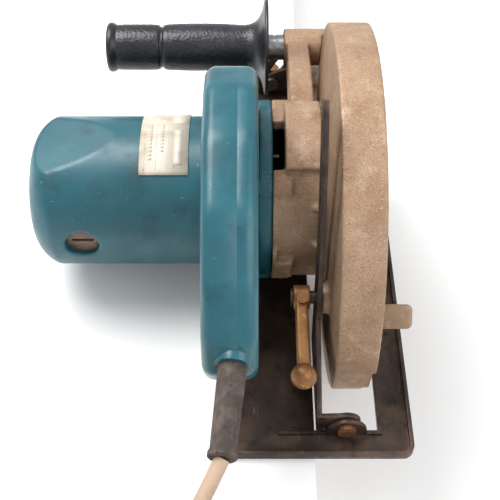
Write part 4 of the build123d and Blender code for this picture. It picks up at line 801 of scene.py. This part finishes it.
class SideGrip(bpy.types.Operator):
    """The moulded side grip: end rim, finger groove, palm swell and a flared hand guard, all pebbled"""

    bl_idname = "circular_saw.side_grip"
    bl_label = "Side grip"

    def execute(self, context):
        sizes = context.scene.saw_sizes
        x0, x1 = GRIP_LOW[0], GRIP_HIGH[0]
        centre = ((GRIP_LOW[1] + GRIP_HIGH[1]) / 2, (GRIP_LOW[2] + GRIP_HIGH[2]) / 2)
        disc_r = (GRIP_HIGH[1] - GRIP_LOW[1]) / 2
        groove = x0 + 39 * MM
        outline = [(0, 0), (0, 14.6), (1.4, 17.4), (4.6, 17.4), (6.4, 16.2), (7.4, 15.6), (9.5, 16.0), (36.4, 16.0),
                   (37.6, 15.2), (38.2, 14.3), (39.8, 14.3), (40.4, 15.2), (41.6, 16.0), (62, 16.7), (84, 16.4),
                   (98, 15.4), (104, 16.6), (108.4, 20.5), (111, 26.5)]
        profile = [(x0 + x * MM, r * MM) for x, r in outline]
        profile += [(x1 - 3.0 * MM, disc_r - 1.4 * MM), (x1 - 2.2 * MM, disc_r), (x1 - 0.4 * MM, disc_r),
                    (x1, disc_r - 0.8 * MM), (x1, 0)]
        profile = spread_points(rounded_profile(profile, 2), 0.55 * MM)
        grip = lathe_x("pebbled_grip", profile, centre, 200)
        tree, keys = pebble_tree()
        run_tree(grip, tree, keys, {
            "Pebble": sizes.pebble, "Height": sizes.pebble_height, "From": x0 + 8 * MM, "To": x1 - 9 * MM,
            "Groove": groove, "Material": materials["grip"]})
        smooth(grip, 60)
        finish_piece(grip, "grip", "saw", ["side_grip"])
        return {"FINISHED"}


def curved_patch(form, x0, x1, low, high, radius, index):
    """A thin curved patch on the barrel between two angles from straight up, in degrees to the rear."""
    steps = max(2, round((high - low) / 3))
    rows = []
    for i in range(steps + 1):
        angle = math.radians(90 + low + (high - low) * i / steps)
        y, z = MOTOR_Y + radius * math.cos(angle), MOTOR_Z + radius * math.sin(angle)
        rows.append((form.verts.new((x0, y, z)), form.verts.new((x1, y, z))))
    for (a, b), (c, d) in zip(rows, rows[1:]):
        face = form.faces.new((a, b, d, c))
        face.material_index = index
        face.smooth = True


class RatingPlate(bpy.types.Operator):
    """The rating plate: a cream foil with ruled lines, a dark bar and a plain colour block, and no words"""

    bl_idname = "circular_saw.rating_plate"
    bl_label = "Rating plate"

    def execute(self, context):
        x0, x1 = PLATE_LOW[0], PLATE_HIGH[0]
        width = x1 - x0
        top, low = -40.0, 33.0  # the plate's two ends, from straight up, in degrees
        foil = BARREL_R + 0.5 * MM
        ink = foil + 0.06 * MM
        form = bmesh.new()
        curved_patch(form, x0, x1, top, low, foil, 0)
        for share in (0.10, 0.34, 0.58):
            curved_patch(form, x0 + (share - 0.006) * width, x0 + (share + 0.006) * width, top + 26, low - 3, ink, 1)
        for share, reach in ((0.22, 34), (0.46, 28)):
            for k in range(11):
                start = top + 28 + k * 3.2
                if start < top + 28 + reach:
                    curved_patch(form, x0 + (share - 0.05) * width, x0 + (share + 0.03) * width, start,
                                 start + 1.9, ink, 1)
        curved_patch(form, x0 + 0.62 * width, x0 + 0.97 * width, top + 3, top + 25, ink, 2)
        curved_patch(form, x0 + 0.70 * width, x0 + 0.88 * width, top + 34, top + 66, ink, 1)
        mesh = bpy.data.meshes.new("printed_plate")
        form.to_mesh(mesh)
        form.free()
        plate = new_object("printed_plate", mesh)
        finish_piece(plate, "plate", "saw", ["rating_plate"])
        plate.data.materials.append(materials["ink"])
        plate.data.materials.append(materials["colour block"])
        solid = plate.modifiers.new("Foil", "SOLIDIFY")
        solid.thickness = 0.4 * MM
        solid.offset = -1
        return {"FINISHED"}


class Screws(bpy.types.Operator):
    """Cross-recess screws of the handle, motor housing, bearing box and blade case"""

    bl_idname = "circular_saw.screws"
    bl_label = "Screws"

    def execute(self, context):
        tree, keys = screw_tree()
        # Each row: node, head height, shank radius, and whether the heads face the motor's end.
        rows = (("handle_screws", 2.6, 1.9, True), ("housing_screws", 2.8, 2.0, True),
                ("bearing_box_screws", 1.6, 1.9, False), ("case_screws", 2.6, 2.4, False))
        for node, head, shank, faces_left in rows:
            boxes = islands(node)
            low, high = boxes[0]
            seat = low.x + head * MM if faces_left else high.x - head * MM
            points = [(seat, (a.y + b.y) / 2, (a.z + b.z) / 2) for a, b in boxes]
            mesh = bpy.data.meshes.new(node)
            mesh.from_pydata(points, [], [])
            piece = new_object("cross_" + node, mesh)
            run_tree(piece, tree, keys, {
                "Head radius": (high.y - low.y) / 2, "Head height": head * MM, "Shank radius": shank * MM,
                "Shank length": high.x - low.x - head * MM,
                "Turn": (0, -math.pi / 2 if faces_left else math.pi / 2, 0), "Material": materials["zinc"]})
            smooth(piece, 35)
            finish_piece(piece, "zinc", "saw", [node])
        return {"FINISHED"}


class PressedSteel(bpy.types.Operator):
    """The base plate, depth guide, brackets and thumb tab, with the small radii of pressed metal"""

    bl_idname = "circular_saw.pressed_steel"
    bl_label = "Pressed steel"

    def execute(self, context):
        edge = context.scene.saw_sizes.edge
        rows = (("pressed_sole", "base_plate", "base", "sole", "worn_steel", 1.6),
                ("pressed_guide", "depth_guide", "tilt_frame", "sole", "worn_steel", 1.0),
                ("pressed_bracket", "front_bracket", "tilt_frame", "sole", "worn_steel", 1.0),
                ("pressed_quadrant", "bevel_quadrant", "base", "sole", "worn_steel", 1.0),
                ("pressed_tab", "thumb_tab", "lower_guard", "guard", "guard_alloy", 1.4))
        for name, node, body, material, slot, share in rows:
            finish_piece(pressed_copy(name, [node], edge * share), material, body, [node])
        return {"FINISHED"}


class Levers(bpy.types.Operator):
    """The two ball-ended clamping levers"""

    bl_idname = "circular_saw.levers"
    bl_label = "Clamping levers"

    def execute(self, context):
        for name, node, body in (("cast_depth_lever", "depth_lever", "depth_lever"),
                                 ("cast_bevel_lever", "bevel_lever", "bevel_lever")):
            finish_piece(cast_copy(name, [node], 0.55 * MM, 7), "lever", body, [node])
        return {"FINISHED"}


class BladeTips(bpy.types.Operator):
    """The carbide tips brazed to the blade's teeth"""

    bl_idname = "circular_saw.blade_tips"
    bl_label = "Blade tips"

    def execute(self, context):
        tree, keys = tip_tree()
        thick = BLADE_HIGH[0] - BLADE_LOW[0]
        tip = (4.6 * MM, 1.6 * MM, thick + 0.5 * MM)
        piece = new_object("blade_tips", bpy.data.meshes.new("blade_tips"))
        run_tree(piece, tree, keys, {
            "Teeth": context.scene.saw_sizes.teeth, "Radius": BLADE_R - tip[0] / 2 - 0.1 * MM, "Tip size": tip,
            "Centre": ((BLADE_LOW[0] + BLADE_HIGH[0]) / 2, ARBOR_Y, ARBOR_Z), "Material": materials["carbide"]})
        finish_piece(piece, "carbide", "arbor")
        return {"FINISHED"}


class Stage(bpy.types.Operator):
    """A pale bench under the sole and the cord, a lower floor, soft lights and the camera"""

    bl_idname = "circular_saw.stage"
    bl_label = "Bench, lights and camera"

    def execute(self, context):
        scene = context.scene
        bench = self.slab("bench", (-1.6, BENCH_RIGHT), (-1.6, 2.4), (-0.10, 0.0))
        floor = self.slab("floor", (-4.0, 4.0), (-4.0, 6.0), (-0.14, -0.10))
        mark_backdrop(bench, floor)
        scene.view_settings.view_transform = "Standard"
        world = bpy.data.worlds.new("Studio")
        scene.world = world
        world.use_nodes = True
        world.node_tree.nodes["Background"].inputs["Color"].default_value = linear("#F4F6FA")
        world.node_tree.nodes["Background"].inputs["Strength"].default_value = 0.8
        self.light("key", (-0.55, 0.35, 1.25), 22.0, 0.9)
        self.light("fill", (0.9, -0.6, 0.9), 9.0, 1.2)
        camera_data = bpy.data.cameras.new("camera")
        camera_data.lens = CAMERA_LENS
        camera_data.clip_start = 0.01
        camera = bpy.data.objects.new("camera", camera_data)
        scene.collection.objects.link(camera)
        camera.location = CAMERA_PLACE
        camera.rotation_euler = Vector(CAMERA_AIM).to_track_quat("-Z", "Y").to_euler()
        scene.camera = camera
        return {"FINISHED"}

    def slab(self, name, xs, ys, zs):
        form = bmesh.new()
        bmesh.ops.create_cube(form, size=1.0)
        for vert in form.verts:
            vert.co = [low if c < 0 else high for c, (low, high) in zip(vert.co, (xs, ys, zs))]
        mesh = bpy.data.meshes.new(name)
        form.to_mesh(mesh)
        form.free()
        mesh.materials.append(materials["floor"])
        return new_object(name, mesh)

    def light(self, name, place, power, size):
        data = bpy.data.lights.new(name, "AREA")
        data.energy = power
        data.size = size
        lamp = bpy.data.objects.new(name, data)
        bpy.context.scene.collection.objects.link(lamp)
        lamp.location = place
        lamp.rotation_euler = (Vector(LIGHT_TARGET) - Vector(place)).to_track_quat("-Z", "Y").to_euler()


OPERATORS = (PaintFrame, Stage, MainsCord, Castings, MotorBarrel, HandleShells, SideGrip, RatingPlate, Screws,
             PressedSteel, Levers, BladeTips)


class SawPanel(bpy.types.Panel):
    """Lists the saw's pieces in the sidebar"""

    bl_idname = "VIEW3D_PT_circular_saw"
    bl_label = "Circular Saw"
    bl_space_type = "VIEW_3D"
    bl_region_type = "UI"
    bl_category = "Circular Saw"

    def draw(self, context):
        for group in (context.scene.saw_sizes, context.scene.saw_colours):
            for name in group.bl_rna.properties.keys():
                if name not in ("rna_type", "name"):
                    self.layout.prop(group, name)
        for operator in OPERATORS:
            self.layout.operator(operator.bl_idname)


CLASSES = (SawSizes, SawColours, *OPERATORS, SawPanel)


def register():
    for item in CLASSES:
        bpy.utils.register_class(item)
    bpy.types.Scene.saw_sizes = bpy.props.PointerProperty(type=SawSizes)
    bpy.types.Scene.saw_colours = bpy.props.PointerProperty(type=SawColours)


def unregister():
    del bpy.types.Scene.saw_colours
    del bpy.types.Scene.saw_sizes
    for item in reversed(CLASSES):
        bpy.utils.unregister_class(item)


def plain(bounds):
    return [[round(float(value), 5) for value in corner] for corner in bounds]


def main():
    register()
    for operator in OPERATORS:
        group, name = operator.bl_idname.split(".")
        getattr(getattr(bpy.ops, group), name)()
    {"cad": plain(cad_bounds), "visual": plain(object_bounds())}


if __name__ == "__main__":
    main()
